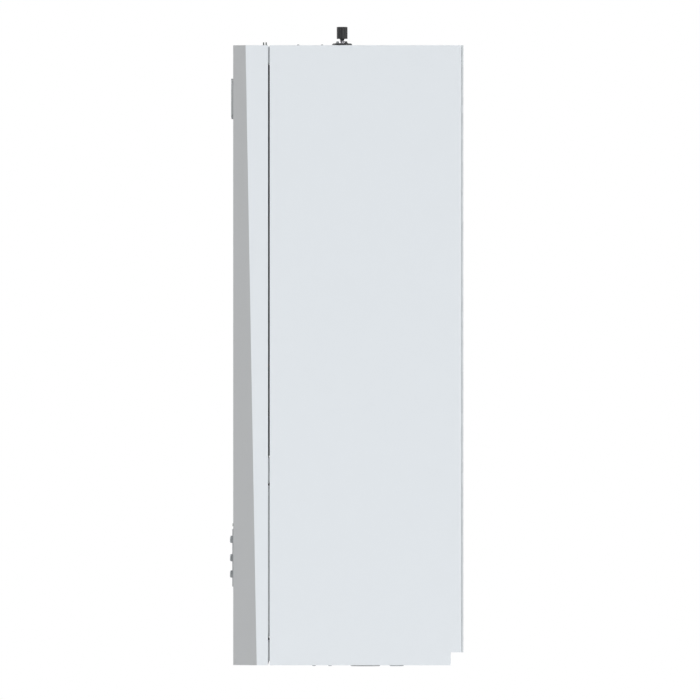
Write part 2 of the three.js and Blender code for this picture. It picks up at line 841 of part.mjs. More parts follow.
// Flue duct, from the shell's cup up into the inner socket of the collar.
{
  const socketLap = 12;
  const low = exchangerZ + exchangerRadius;
  const high = top - sheet - collarDepth + socketLap;
  const wide = collarSocketRadius - collarSocketWall - fit;
  const duct = turned("z", 0, flueY, [
    [ductRadius - ductWall, low],
    [ductRadius, low],
    [ductRadius, high - 2 * socketLap],
    [wide, high - 2 * socketLap],
    [wide, high],
    [ductRadius - ductWall, high],
    [ductRadius - ductWall, low],
  ]);
  addPiece("flue_duct", duct, greyPlastic);
}

// Burner door with the burner behind it, the ignition electrode and the mixture elbow.
const doorThickness = 8;
const doorRear = exchangerFront - fit;
const doorFront = doorRear - doorThickness;
const elbowBore = 13;
const elbowWall = 3;
const electrodeOffset = 35; // from the burner's middle, to the left and up
const electrodeX = -electrodeOffset;
const electrodeZ = exchangerZ + electrodeOffset;
const electrodeRadius = 5;
const burnerRadius = 26;
{
  const burnerFlange = 32;
  const flangeThickness = 1.5;
  const burnerWall = 1.4;
  const burnerGap = 24; // between the burner's end and the back of the exchanger
  const burnerLength = exchangerDepth - burnerGap;
  const doorRadius = 92;
  const rimWidth = 12;
  const rimStep = 2;
  const seatRadius = burnerFlange + fit;
  const seat = doorRear - flangeThickness - fit;
  const door = cut(
    turned("y", 0, exchangerZ, [
      [elbowBore, seat],
      [seatRadius, seat],
      [seatRadius, doorRear],
      [doorRadius, doorRear],
      [doorRadius, doorFront + rimStep],
      [doorRadius - rimWidth, doorFront + rimStep],
      [doorRadius - rimWidth - rimStep, doorFront],
      [elbowBore, doorFront],
      [elbowBore, seat],
    ], fineSides),
    disc("y", electrodeX, electrodeZ, electrodeRadius + fit, doorFront - overrun,
      doorRear + overrun, smallSides),
  );
  addPiece("burner_door", door, castAluminium);

  const burnerEnd = doorRear + burnerLength;
  const burner = turned("y", 0, exchangerZ, [
    [burnerRadius - burnerWall, doorRear - flangeThickness],
    [burnerFlange, doorRear - flangeThickness],
    [burnerFlange, doorRear],
    [burnerRadius, doorRear],
    [burnerRadius, burnerEnd],
    [0, burnerEnd],
    [0, burnerEnd - burnerWall],
    [burnerRadius - burnerWall, burnerEnd - burnerWall],
    [burnerRadius - burnerWall, doorRear - flangeThickness],
  ]);
  addPiece("burner", burner, stainless);

  const ceramicOutside = 18;
  const ceramicInside = 14;
  const ceramicFront = doorFront - ceramicOutside;
  const ceramicRear = doorRear + ceramicInside;
  const rodRadius = 1.5;
  const rodLength = 30;
  const collarRadius = 8;
  const collarThickness = 4;
  const electrode = turned("y", electrodeX, electrodeZ, [
    [0, ceramicFront],
    [electrodeRadius, ceramicFront],
    [electrodeRadius, doorFront - fit - collarThickness],
    [collarRadius, doorFront - fit - collarThickness],
    [collarRadius, doorFront - fit],
    [electrodeRadius, doorFront - fit],
    [electrodeRadius, ceramicRear],
    [rodRadius, ceramicRear],
    [rodRadius, ceramicRear + rodLength],
    [0, ceramicRear + rodLength],
  ], smallSides);
  addPiece("ignition_electrode", electrode, ceramic);
}

// Fan: a spiral housing with its lid and venturi, and the wheel on the motor's shaft.
const fanDrop = 142; // from the exchanger's middle to the fan's
const fanGap = 6.7; // between the burner door and the fan
const fanZ = exchangerZ - fanDrop;
const fanRear = doorFront - fanGap;
const fanDepth = 34;
const fanWall = 2.5;
const fanSpiralStart = 49; // radius of the spiral after the tongue
const fanSpiralEnd = 62;
const fanMouth = 40; // width of the outlet
const fanMouthRise = 54; // height of the outlet over the middle of the fan
const fanX = fanMouth / 2 - fanSpiralEnd; // the outlet lies under the exchanger's middle
const shaftRadius = 3;
const venturiDepth = 13.5;
const nippleReach = 30.3; // from the middle of the fan to the end of the gas nipple
const fanFront = fanRear - fanDepth;
const lidFront = fanFront - fanWall;
const nippleY = lidFront - venturiDepth / 2;
const fanOutletX = fanX + fanSpiralEnd - fanMouth / 2;
const fanOutletY = (fanRear + fanFront) / 2;
const fanOutletZ = fanZ + fanMouthRise;
{
  const fan = placeGroup(fanX, 0, fanZ);
  const spiralSteps = 16;
  const wheelRadius = 42;
  const wheelGap = 2.5; // between the wheel and the housing's back wall
  const inletRadius = 24;
  const shaftPlay = 1; // round the shaft in the housing's back wall

  // The spiral outline of the housing, drawn in by a wall; the outlet runs up to the given height.
  const spiral = (wall, mouthHeight) => {
    const inner = fanSpiralEnd - fanMouth;
    const startAngle = Math.acos(inner / fanSpiralStart);
    const turn = 2 * Math.PI - startAngle;
    const points = Array.from({ length: spiralSteps + 1 }, (_, i) => {
      const share = i / spiralSteps;
      const radius = fanSpiralStart + (fanSpiralEnd - fanSpiralStart) * share - wall;
      const angle = startAngle + turn * share;
      return new THREE.Vector2(radius * Math.cos(angle), radius * Math.sin(angle));
    });
    points.push(new THREE.Vector2(fanSpiralEnd - wall, mouthHeight));
    points.push(new THREE.Vector2(inner + wall, mouthHeight));
    points.push(new THREE.Vector2(inner + wall, points[0].y));
    return new THREE.Shape(points.slice(1));
  };
  const housing = cut(
    plate("y", spiral(0, fanMouthRise), fanFront, fanRear),
    plate("y", spiral(fanWall, fanMouthRise + overrun), fanFront - overrun, fanRear - fanWall),
    disc("y", 0, 0, shaftRadius + shaftPlay, fanRear - overrun, fanRear + overrun, smallSides),
  );
  addPiece("fan_housing", housing, castAluminium, fan);

  const venturiRadius = 30;
  const throatStep = 3;
  const venturiLip = 3;
  const nippleRadius = 6;
  const nippleBore = 4;
  const throat = inletRadius - throatStep;
  const lidPlate = plate("y", spiral(0, fanMouthRise), lidFront, fanFront);
  const venturi = turned("y", 0, 0, [
    [0, lidFront + fanWall / 2],
    [venturiRadius, lidFront + fanWall / 2],
    [venturiRadius, lidFront - venturiDepth],
    [0, lidFront - venturiDepth],
  ]);
  const airWay = turned("y", 0, 0, [
    [0, fanFront + overrun],
    [inletRadius, fanFront + overrun],
    [inletRadius, lidFront],
    [throat, lidFront - venturiDepth / 2],
    [venturiRadius - venturiLip, lidFront - venturiDepth],
    [venturiRadius - venturiLip, lidFront - venturiDepth - overrun],
    [0, lidFront - venturiDepth - overrun],
  ]);
  const nipple = disc("x", nippleY, 0, nippleRadius, inletRadius, nippleReach, smallSides);
  const nippleHole = disc("x", nippleY, 0, nippleBore, throat - venturiLip, nippleReach + overrun,
    smallSides);
  const lid = cut(join(lidPlate, venturi, nipple), airWay, nippleHole);
  addPiece("fan_inlet", lid, blackPlastic, fan);

  // The wheel: a back plate, curved blades and a front ring, on a hub and a shaft.
  const wheelRear = fanRear - fanWall - wheelGap;
  const wheelDepth = 25;
  const wheelPlate = 2;
  const ringInner = 30;
  const hubRadius = 9;
  const hubDepth = 16;
  const shaftLength = 26;
  const blades = 12;
  const bladeHalf = 0.9;
  const bladeInner = 22;
  const bladeSweep = 0.9; // angle from the inner to the outer end, in radians
  const bladeSteps = 3;
  const wheelFront = wheelRear - wheelDepth;
  const bladeOutline = (startAngle) => {
    const line = (side) =>
      Array.from({ length: bladeSteps + 1 }, (_, i) => {
        const share = i / bladeSteps;
        const radius = bladeInner + (wheelRadius - wheelPlate / 2 - bladeInner) * share;
        const angle = startAngle - bladeSweep * share + (side * bladeHalf) / radius;
        return new THREE.Vector2(radius * Math.cos(angle), radius * Math.sin(angle));
      });
    return new THREE.Shape([...line(-1), ...line(1).reverse()]);
  };
  const backPlate = turned("y", 0, 0, [
    [0, wheelRear],
    [wheelRadius, wheelRear],
    [wheelRadius, wheelRear - wheelPlate],
    [hubRadius, wheelRear - wheelPlate],
    [hubRadius, wheelRear - hubDepth],
    [0, wheelRear - hubDepth],
  ], fineSides);
  const frontRing = turned("y", 0, 0, [
    [ringInner, wheelFront],
    [wheelRadius, wheelFront],
    [wheelRadius, wheelFront + wheelPlate],
    [ringInner, wheelFront + wheelPlate],
    [ringInner, wheelFront],
  ], fineSides);
  const bladeSolids = Array.from({ length: blades }, (_, n) =>
    plate("y", bladeOutline((2 * Math.PI * n) / blades), wheelFront + wheelPlate / 2,
      wheelRear - wheelPlate / 2),
  );
  const shaft = disc("y", 0, 0, shaftRadius, wheelRear - wheelPlate / 2, wheelRear + shaftLength,
    smallSides);
  addPiece("fan_impeller", join(backPlate, frontRing, shaft, ...bladeSolids), blackPlastic, fan);

  const motorRadius = 36;
  const motorFlange = 40;
  const motorFlangeDepth = 4;
  const motorLength = 48;
  const motorEdge = 5;
  const motorFront = fanRear + fit;
  const endPlay = 2; // behind the end of the shaft
  const motorBore = shaftLength + wheelRear - motorFront + endPlay;
  const motor = turned("y", 0, 0, [
    [shaftRadius + fit, motorFront],
    [motorFlange, motorFront],
    [motorFlange, motorFront + motorFlangeDepth],
    [motorRadius, motorFront + motorFlangeDepth],
    [motorRadius, motorFront + motorLength - motorEdge],
    [motorRadius - motorEdge, motorFront + motorLength],
    [0, motorFront + motorLength],
    [0, motorFront + motorBore],
    [shaftRadius + fit, motorFront + motorBore],
    [shaftRadius + fit, motorFront],
  ]);
  addPiece("fan_motor", motor, blackPlastic, fan);
}

// Mixture elbow, from the fan's outlet up and back to the middle of the burner door.
{
  const flangeRadius = 26;
  const flangeThickness = 5;
  const footHalf = fanMouth / 2;
  const footDepth = fanDepth / 2;
  const bend = 20;
  const start = doorFront - fit;
  const low = fanOutletZ + fit;
  const route = (lap) => [
    [fanOutletX, start + lap, exchangerZ],
    [fanOutletX, fanOutletY, exchangerZ],
    [fanOutletX, fanOutletY, low - lap],
  ];
  const outside = join(
    tube(route(0), elbowBore + elbowWall, bend, roundSides),
    disc("y", fanOutletX, exchangerZ, flangeRadius, start - flangeThickness, start),
    block(span(fanOutletX, footHalf), span(fanOutletY, footDepth), [low, low + flangeThickness]),
  );
  const elbow = cut(outside, tube(route(overrun), elbowBore, bend, roundSides));
  addPiece("mixer_elbow", elbow, castAluminium);
}

// Gas valve with its two solenoids, and the pipe that carries the gas to the venturi.
const valveRise = 35.3; // gas valve over the chamber floor
const valveOutletRise = 32;
const valveOutletReach = 31; // from the riser's middle to the end of the outlet
const valveOutletSet = 10; // outlet in front of the riser
const valveBottom = floorTop + valveRise;
const valveOutletX = gasRiserX - valveOutletReach;
const valveOutletY = gasRiserY - valveOutletSet;
const valveOutletZ = valveBottom + valveOutletRise;
{
  const halfWidth = 25;
  const height = 62;
  const reachBack = 25;
  const reachFront = 27;
  const rear = gasRiserY + reachBack;
  const frontFace = gasRiserY - reachFront;
  const solenoidRadius = 13;
  const solenoidReach = 24;
  const solenoidInset = 16;
  const stubRadius = 9;
  const stubBore = 5;
  const valveTop = valveBottom + height;
  const solenoid = (z) =>
    disc("y", gasRiserX, z, solenoidRadius, frontFace - solenoidReach, frontFace + fit, roundSides);
  const shape = cut(
    join(
      block(span(gasRiserX, halfWidth), [frontFace, rear], [valveBottom, valveTop]),
      solenoid(valveTop - solenoidInset),
      solenoid(valveBottom + solenoidInset),
      disc("x", valveOutletY, valveOutletZ, stubRadius, valveOutletX, gasRiserX, smallSides),
    ),
    disc("x", valveOutletY, valveOutletZ, stubBore, valveOutletX - overrun, gasRiserX - halfWidth / 2,
      smallSides),
  );
  addPiece("gas_valve", shape, castAluminium);

  const outletPipeRadius = 5;
  const crossX = 34;
  const bend = 18;
  const pipe = tube([
    [valveOutletX - fit, valveOutletY, valveOutletZ],
    [crossX, valveOutletY, valveOutletZ],
    [crossX, nippleY, fanZ],
    [fanX + nippleReach + fit, nippleY, fanZ],
  ], outletPipeRadius, bend);
  addPiece("gas_outlet_pipe", pipe, copper);
}

// Expansion vessel: a flat red drum, held to the back panel by the stud in its middle.
{
  const vesselDrop = 10; // its middle, under the exchanger's
  const vesselZ = exchangerZ - vesselDrop;
  const vesselTopGap = 50; // from the top of the casing to the seam
  const seamReach = 5;
  const seamHalf = 3;
  const crownInset = 27;
  const seamRadius = exchangerDrop + vesselDrop - vesselTopGap;
  const vesselRadius = seamRadius - seamReach;
  const crownRadius = vesselRadius - crownInset;
  const crownDepth = 14;
  const studRadius = 18;
  const seam = (vesselRear + vesselFront) / 2;
  const vessel = turned("y", 0, vesselZ, [
    [0, wallInside - fit],
    [studRadius, wallInside - fit],
    [studRadius, vesselRear],
    [crownRadius, vesselRear],
    [vesselRadius, vesselRear - crownDepth],
    [vesselRadius, seam + seamHalf],
    [seamRadius, seam + seamHalf],
    [seamRadius, seam - seamHalf],
    [vesselRadius, seam - seamHalf],
    [vesselRadius, vesselFront + crownDepth],
    [crownRadius, vesselFront],
    [0, vesselFront],
  ], fineSides);
  addPiece("expansion_vessel", vessel, redPaint);
}

// Union nuts: five hexagons with a shoulder inside, each round the flanged tail that it holds.
const connectionNames = ["flow", "hot_water", "gas", "cold_water", "return"];
{
  const outline = new THREE.Shape(
    arc(0, 0, nutWidth / Math.sqrt(3), 0, 2 * Math.PI, 6).slice(1),
  );
  const throat = disc("z", 0, 0, tailRadius + fit, nutBottom - overrun, nutTop + overrun);
  const shoulder = tailEnd + tailFlangeHeight + fit;
  const socket = disc("z", 0, 0, tailFlangeRadius + fit, nutBottom - overrun, shoulder);
  const nut = cut(plate("z", outline, nutBottom, nutTop), throat, socket);
  connectionNames.forEach((name, i) => {
    const mesh = addPiece(name + "_union_nut", nut, brass);
    mesh.position.set((i - 2) * connectionPitch, connectionY, 0);
  });
}

// The flanged tail of one connection, up to the given height, and the bore that goes in it.
function tail(x, high) {
  return turned("z", x, connectionY, [
    [0, tailEnd],
    [tailFlangeRadius, tailEnd],
    [tailFlangeRadius, tailEnd + tailFlangeHeight],
    [tailRadius, tailEnd + tailFlangeHeight],
    [tailRadius, high],
    [0, high],
  ]);
}

function tailHole(x, high) {
  return disc("z", x, connectionY, tailBore, tailEnd - overrun, high);
}

// Heights of the hydraulic blocks and the pump, and the pump's place beside the trap
const blockRise = 8; // over the union nuts
const blockHeight = 42;
const pumpRadius = 42;
const pumpRise = 47; // middle of the pump over its block
const bottleRadius = 17.5; // condensate trap
const bottleGap = 17.5; // between the trap and the pump
const blockBottom = nutTop + blockRise;
const blockTop = blockBottom + blockHeight;
const pumpX = trapX - bottleRadius - bottleGap - pumpRadius;
const pumpZ = blockTop + pumpRise;

// Gas inlet pipe, from the middle connection up through the chamber floor to the valve.
{
  const crossingRise = 66; // slanted run, over the middle of the pump
  const crossing = pumpZ + crossingRise;
  const pipe = tube([
    [0, connectionY, tailEnd + tailFlangeHeight + tailRadius],
    [0, connectionY, crossing],
    [gasRiserX, gasRiserY, crossing],
    [gasRiserX, gasRiserY, valveBottom - fit],
  ], gasPipeRadius, pipeBend);
  const high = nutTop + tailRadius;
  const shape = cut(join(pipe, tail(0, high)), tailHole(0, nutTop));
  addPiece("gas_inlet_pipe", shape, copper);
}

// Hydraulic blocks: each carries two tails and bears on the plate heat exchanger behind it.
const blockHalfDepth = 17;
const blockOverhang = 20; // past the outer connection
const blockUnderhang = 15; // past the inner connection
const plateReach = 30.8; // from the connections back to the plate heat exchanger
const plateBossX = 70;
const diverterRise = 21;
const blockOuter = 2 * connectionPitch + blockOverhang;
const blockInner = connectionPitch - blockUnderhang;
const plateFront = connectionY + plateReach;
const diverterZ = blockTop + diverterRise;
const spindleRadius = 3;
const socketDepth = 8;
const valveHeadX = connectionPitch;
{
  const bossRadius = 13;
  const hub = 11; // half height of the block's middle, where the bosses sit
  const middle = (blockTop + blockBottom) / 2;
  const blockFront = connectionY - blockHalfDepth;
  const blockRear = connectionY + blockHalfDepth;
  const body = (side) => {
    const reach = [side * blockInner, side * blockOuter].sort((a, b) => a - b);
    return join(
      plate("z", rectangle(reach, [blockFront, blockRear], hub), blockBottom, blockTop),
      disc("y", side * plateBossX, middle, bossRadius, connectionY, plateFront - fit, roundSides),
      tail(side * connectionPitch, middle),
      tail(2 * side * connectionPitch, middle),
    );
  };
  const bores = (side) => [
    tailHole(side * connectionPitch, middle),
    tailHole(2 * side * connectionPitch, middle),
  ];
  addPiece("return_block", cut(body(1), ...bores(1)), brass);

  // The flow block also holds the diverter: an upright barrel with a boss for its motor.
  const barrelRadius = 17;
  const barrelRise = 51;
  const barrelTop = blockTop + barrelRise;
  const motorBossRadius = 12;
  const motorBossReach = 3;
  const barrelX = -2 * connectionPitch;
  const motorFace = connectionY - barrelRadius - motorBossReach;
  const spindleInset = 2; // from the barrel's middle to the spindle's back end
  const spindleRear = connectionY - spindleInset;
  const spindleLength = 26;
  const spindleTravel = 4;
  const flowBlock = cut(
    join(
      body(-1),
      disc("z", barrelX, connectionY, barrelRadius, middle, barrelTop),
      disc("y", barrelX, diverterZ, motorBossRadius, motorFace, connectionY, roundSides),
    ),
    ...bores(-1),
    disc("z", barrelX, connectionY, pipeRadius + fit, barrelTop - socketDepth, barrelTop + overrun),
    disc("y", barrelX, diverterZ, spindleRadius + fit, motorFace - overrun,
      spindleRear + spindleTravel + fit, smallSides),
  );
  addPiece("flow_block", flowBlock, brass);

  const motorHalf = 21;
  const motorHeight = 50;
  const motorDepthShare = 0.52; // of the room between the barrel and the control box
  const motorCorner = 5;
  const motorRear = motorFace - fit;
  const motorDepth = (motorRear - boxRear) * motorDepthShare;
  const motorShape = cut(
    plate("y", rectangle(span(barrelX, motorHalf), span(diverterZ, motorHeight / 2), motorCorner),
      motorRear - motorDepth, motorRear),
    disc("y", barrelX, diverterZ, spindleRadius + fit, spindleRear - spindleLength - spindleTravel,
      motorRear + overrun, smallSides),
  );
  addPiece("diverter_motor", motorShape, blackPlastic);
  addPiece("diverter_spindle",
    disc("y", barrelX, diverterZ, spindleRadius, spindleRear - spindleLength, spindleRear, smallSides),
    stainless);

  // The flow pipe's and the return pipe's routes end in the barrel and on the pump.
  const flowPipe = tube([
    [-stubReach - fit, flowPipeY, exchangerZ + stubDrop],
    [flowPipeX, flowPipeY, exchangerZ + stubDrop],
    [flowPipeX, flowPipeY, floorTop - pipeBend - pipeRadius],
    [barrelX, connectionY, barrelTop + pipeBend + pipeRadius],
    [barrelX, connectionY, barrelTop - socketDepth + fit],
  ], pipeRadius, pipeBend);
  addPiece("flow_pipe", flowPipe, copper);
}

// Plate heat exchanger: a brazed stack of thin plates.
{
  const halfWidth = 88;
  const depth = 46;
  const riseOverBlocks = 24;
  const dropUnderBlocks = 4;
  const high = blockTop + riseOverBlocks;
  const low = blockBottom - dropUnderBlocks;
  const corner = 14;
  const plates = 9;
  const step = 2; // how far every second plate is drawn in
  const pitch = depth / plates;
  const stack = Array.from({ length: plates }, (_, n) => {
    const back = (n % 2) * step;
    const outline = rectangle(
      [-halfWidth + back, halfWidth - back],
      [low + back, high - back],
      corner - back,
    );
    return plate("y", outline, plateFront + n * pitch, plateFront + (n + 1) * pitch);
  });
  addPiece("plate_heat_exchanger", join(...stack), stainless);
}

// Pump: the body stands on the return block; its wheel turns on a shaft in the motor.
{
  const pump = placeGroup(pumpX, 0, pumpZ);
  const rearReach = 25.8; // behind the connections
  const rear = connectionY + rearReach;
  const bodyDepth = 40;
  const bodyFront = rear - bodyDepth;
  const chamberRadius = 34;
  const rearWall = 10;
  const chamberRear = rear - rearWall;
  const outletX = 27;
  const outletRadius = 13;
  const outletRise = 8; // over the pump's round body
  const outletTop = pumpRadius + outletRise;
  const suctionRadius = 14;
  const suctionLow = blockTop - pumpZ + fit;
  const middle = connectionY;
  const body = cut(
    join(
      disc("y", 0, 0, pumpRadius, bodyFront, rear, fineSides),
      disc("z", outletX, middle, outletRadius, 0, outletTop),
      disc("z", 0, middle, suctionRadius, suctionLow, 0),
    ),
    disc("y", 0, 0, chamberRadius, bodyFront - overrun, chamberRear),
    disc("z", outletX, middle, pipeRadius + fit, outletTop - socketDepth, outletTop + overrun),
  );
  addPiece("pump_body", body, castAluminium, pump);

  const wheelRadius = 31;
  const wheelGap = 3;
  const wheelRear = chamberRear - wheelGap;
  const wheelDepth = 16;
  const wheelPlate = 2;
  const hubRadius = 8;
  const blades = 7;
  const bladeHalf = 1.2;
  const bladeRoot = 1; // how deep a blade starts in the hub
  const bladeSweep = 1.1;
  const bladeSteps = 3;
  const shaftLength = 50;
  const bladeOutline = (startAngle) => {
    const line = (side) =>
      Array.from({ length: bladeSteps + 1 }, (_, i) => {
        const share = i / bladeSteps;
        const radius = hubRadius - bladeRoot + (wheelRadius - hubRadius) * share;
        const angle = startAngle + bladeSweep * share + (side * bladeHalf) / radius;
        return new THREE.Vector2(radius * Math.cos(angle), radius * Math.sin(angle));
      });
    return new THREE.Shape([...line(-1), ...line(1).reverse()]);
  };
  const wheel = join(
    disc("y", 0, 0, wheelRadius, wheelRear - wheelPlate, wheelRear),
    disc("y", 0, 0, hubRadius, wheelRear - wheelDepth, wheelRear, smallSides),
    disc("y", 0, 0, shaftRadius, wheelRear - shaftLength, wheelRear, smallSides),
    ...Array.from({ length: blades }, (_, n) =>
      plate("y", bladeOutline((2 * Math.PI * n) / blades), wheelRear - wheelDepth,
        wheelRear - wheelPlate / 2),
    ),
  );
  addPiece("pump_impeller", wheel, blackPlastic, pump);

  const motorRadius = 36;
  const motorGap = 10.7; // between the motor's nose and the control box
  const flangeDepth = 5;
  const noseRadius = 26;
  const noseDepth = 6;
  const plugRadius = 7;
  const plugDepth = 2;
  const motorRear = bodyFront - fit;
  const motorFront = boxRear + motorGap;
  const endPlay = 2; // behind the end of the shaft
  const boreEnd = wheelRear - shaftLength - endPlay;
  const motor = turned("y", 0, 0, [
    [shaftRadius + fit, motorRear],
    [pumpRadius, motorRear],
    [pumpRadius, motorRear - flangeDepth],
    [motorRadius, motorRear - flangeDepth],
    [motorRadius, motorFront + noseDepth],
    [noseRadius, motorFront],
    [plugRadius, motorFront],
    [plugRadius, motorFront - plugDepth],
    [0, motorFront - plugDepth],
    [0, boreEnd],
    [shaftRadius + fit, boreEnd],
    [shaftRadius + fit, motorRear],
  ]);
  addPiece("pump_motor", motor, blackPlastic, pump);

  const outletSeat = pumpZ + outletTop - socketDepth;
  const upperKneeShare = 0.65; // of the height from the outlet up to the chamber floor
  const lowerKneeShare = 0.69;
  const outletRun = floorTop - outletSeat;
  const returnPipe = tube([
    [stubReach + fit, returnPipeY, exchangerZ - stubDrop],
    [returnPipeX, returnPipeY, exchangerZ - stubDrop],
    [returnPipeX, returnPipeY, outletSeat + outletRun * upperKneeShare],
    [pumpX + outletX, middle, outletSeat + outletRun * lowerKneeShare],
    [pumpX + outletX, middle, outletSeat + fit],
  ], pipeRadius, pipeBend);
  addPiece("return_pipe", returnPipe, copper);
}

// Safety valve on the front of the return block, with its turning knob.
{
  const middle = (blockTop + blockBottom) / 2;
  const seat = connectionY - blockHalfDepth - fit;
  const room = seat - boxRear; // as far as the control box
  const neckShare = 0.1; // of the room, for each piece's depth
  const bodyShare = 0.3;
  const knobShare = 0.23;
  const spoutShare = 0.09;
  const neckRadius = 9;
  const neckDepth = room * neckShare;
  const bodyRadius = 14;
  const bodyDepth = room * bodyShare;
  const spoutRadius = room * spoutShare;
  const spoutDrop = 20;
  const knobRadius = 16;
  const knobDepth = room * knobShare;
  const knobLobes = 8;
  const lobeDepth = 1.6;
  const bodyFront = seat - neckDepth - bodyDepth;
  const valve = placeGroup(valveHeadX, 0, middle);
  const body = join(
    turned("y", 0, 0, [
      [0, seat],
      [neckRadius, seat],
      [neckRadius, seat - neckDepth],
      [bodyRadius, seat - neckDepth],
      [bodyRadius, bodyFront],
      [0, bodyFront],
    ]),
    disc("z", 0, bodyFront + bodyDepth / 2, spoutRadius, -spoutDrop, 0, smallSides),
  );
  addPiece("safety_valve", body, brass, valve);

  const steps = 4 * knobLobes;
  const lobes = Array.from({ length: steps }, (_, i) => {
    const angle = (2 * Math.PI * i) / steps;
    const radius = knobRadius - (lobeDepth * (1 - Math.cos(knobLobes * angle))) / 2;
    return new THREE.Vector2(radius * Math.cos(angle), radius * Math.sin(angle));
  });
  const knobRear = bodyFront - fit;
  const pointerHalf = 1.5;
  const pointerProud = 1.5;
  const knob = join(
    plate("y", new THREE.Shape(lobes), knobRear - knobDepth, knobRear),
    block([-pointerHalf, pointerHalf],
      [knobRear - knobDepth - pointerProud, knobRear - knobDepth + pointerProud],
      [0, knobRadius - 2 * lobeDepth]),
  );
  addPiece("safety_valve_knob", knob, redPlastic, valve);
}

// Condensate trap and the hose from the exchanger's sump.
{
  const trapDrop = 42.7; // under the chamber floor
  const trapTop = floorTop - trapDrop;
  const bottleRise = 35; // over the bottom of the casing
  const bottleLow = bottom + bottleRise;
  const cupRadius = 11;
  const cupHeight = 12;
  const outletBore = 6.3;
  const shoulder = 8;
  const railHalf = 8;
  const railHeight = 20;
  const outletEnd = bottom - outletDrop;
  const trap = cut(
    join(
      turned("z", trapX, trapY, [
        [0, outletEnd],
        [outletRadius, outletEnd],
        [outletRadius, bottleLow],
        [bottleRadius - shoulder, bottleLow],
        [bottleRadius, bottleLow + shoulder],
        [bottleRadius, trapTop - shoulder],
        [cupRadius, trapTop],
        [cupRadius, trapTop + cupHeight],
        [0, trapTop + cupHeight],
      ]),
      block([trapX, inside - fit], span(trapY, railHalf), span((trapTop + bottleLow) / 2, railHeight / 2)),
    ),
    disc("z", trapX, trapY, hoseRadius + fit, trapTop, trapTop + cupHeight + overrun),
    disc("z", trapX, trapY, outletBore, outletEnd - overrun, bottleLow),
  );
  addPiece("condensate_trap", trap, greyPlastic);

  const drop = 50;
  const arrivalRise = 67.3; // where the hose turns down, over the chamber floor
  const arrival = floorTop + arrivalRise;
  const bend = 30;
  const hose = tube([
    [sumpX, sumpY, sumpLow - fit],
    [sumpX, sumpY, sumpLow - drop],
    [trapX, trapY, arrival],
    [trapX, trapY, trapTop + fit],
  ], hoseRadius, bend);
  addPiece("condensate_hose", hose, blackRubber);
}

// Ignition transformer, screwed to the left side panel.
{
  const width = 30;
  const frontGap = 3.8; // behind the front edge of the casing
  const depth = 45;
  const rise = 27.3; // over the chamber floor
  const height = 60;
  const rear = casingRim + frontGap + depth;
  const high = floorTop + rise + height;
  const corner = 4;
  const wall = -inside + fit;
  const shape = plate("z", rectangle([wall, wall + width], [rear - depth, rear], corner),
    high - height, high);
  addPiece("ignition_transformer", shape, blackPlastic);
}

// Control box: a plastic tray behind the cover, closed by the panel that shows in the window.
const fasciaSkin = 2;
const boxHalfWidth = 140;
const boxRise = 37; // over the panel that shows
const boxDrop = 38; // under it
const boardInset = 13.8; // from the tray's mouth to the board
const boardThickness = 1.6;
const buttonX = 68;
const buttonDrops = [11.6, 32.4, 50.9]; // middles of the buttons, from the panel's top
const buttonRadius = 4.15;
const buttonProud = 3; // from the panel's face
const buttonTravel = 1.5;
const buttonStem = 1.8;
const buttonFlange = 5.4;
const buttonFlangeDepth = 0.8;
const displayRight = 45;
const displayLeft = -75;
const displayMargin = 8; // from the top and bottom of the panel
const panelFace = front - panelProud;
const boxTop = panelTop + boxRise;
const boxBottom = panelBottom - boxDrop;
const boardFront = panelRear + boardInset;
const switchDepth = 4.5;
const switchFront = boardFront - switchDepth;
const buttonHeights = buttonDrops.map((drop) => panelTop - drop);
const displayLow = panelBottom + displayMargin;
const displayHigh = panelTop - displayMargin;
{
  const wall = 2.2;
  const earThickness = 3;
  const earHeight = 40;
  const earRear = casingRim + sheet + fit + earThickness;
  const postRadius = 3;
  const postInset = 14;
  const postFront = boardFront + boardThickness;
  const inner = boxHalfWidth - wall;
  const posts = [-1, 1].flatMap((side) =>
    [boxBottom + postInset, boxTop - postInset].map((z) =>
      disc("y", side * (boxHalfWidth - postInset), z, postRadius, postFront, boxRear, smallSides),
    ),
  );
  const ear = (side) => {
    const reach = [side * inner, side * (inside - fit)].sort((a, b) => a - b);
    return block(reach, [casingRim + sheet + fit, earRear], [boxTop - earHeight, boxTop]);
  };
  const tray = cut(
    block([-boxHalfWidth, boxHalfWidth], [panelRear, boxRear], [boxBottom, boxTop]),
    block([-inner, inner], [panelRear - overrun, boxRear - wall], [boxBottom + wall, boxTop - wall]),
  );
  addPiece("control_box", join(tray, ear(-1), ear(1), ...posts), greyPlastic);

  const bossReach = [panelFace, panelPlane + fit];
  const bossHole = panelHalfWidth - fasciaSkin;
  const lensWindow = block(
    [displayLeft - fit, displayRight + fit],
    [panelFace - overrun, panelFace + overrun],
    [displayLow - fit, displayHigh + fit],
  );
  const buttonHoles = buttonHeights.map((z) =>
    disc("y", buttonX, z, buttonRadius + fit, panelFace - overrun, panelPlane),
  );
  const panel = cut(
    join(
      block([-boxHalfWidth, boxHalfWidth], [panelPlane, panelRear], [boxBottom, boxTop]),
      block([-panelHalfWidth, panelHalfWidth], bossReach, [panelBottom, panelTop]),
    ),
    block([-bossHole, bossHole], [panelFace + fasciaSkin, panelRear + overrun],
      [panelBottom + fasciaSkin, panelTop - fasciaSkin]),
    lensWindow,
    ...buttonHoles,
  );
  addPiece("control_panel", panel, greyPlastic);

  const lens = block([displayLeft, displayRight], [panelFace + fit, panelFace + fasciaSkin],
    [displayLow, displayHigh]);
  addPiece("display_lens", lens, darkGlass);

  const light = plate("y",
    rectangle([-lightHalfWidth, lightHalfWidth], [lightBottom, lightTop], lightHeight / 2),
    front - lightProud, panelPlane);
  addPiece("status_light", light, greyPlastic);
}

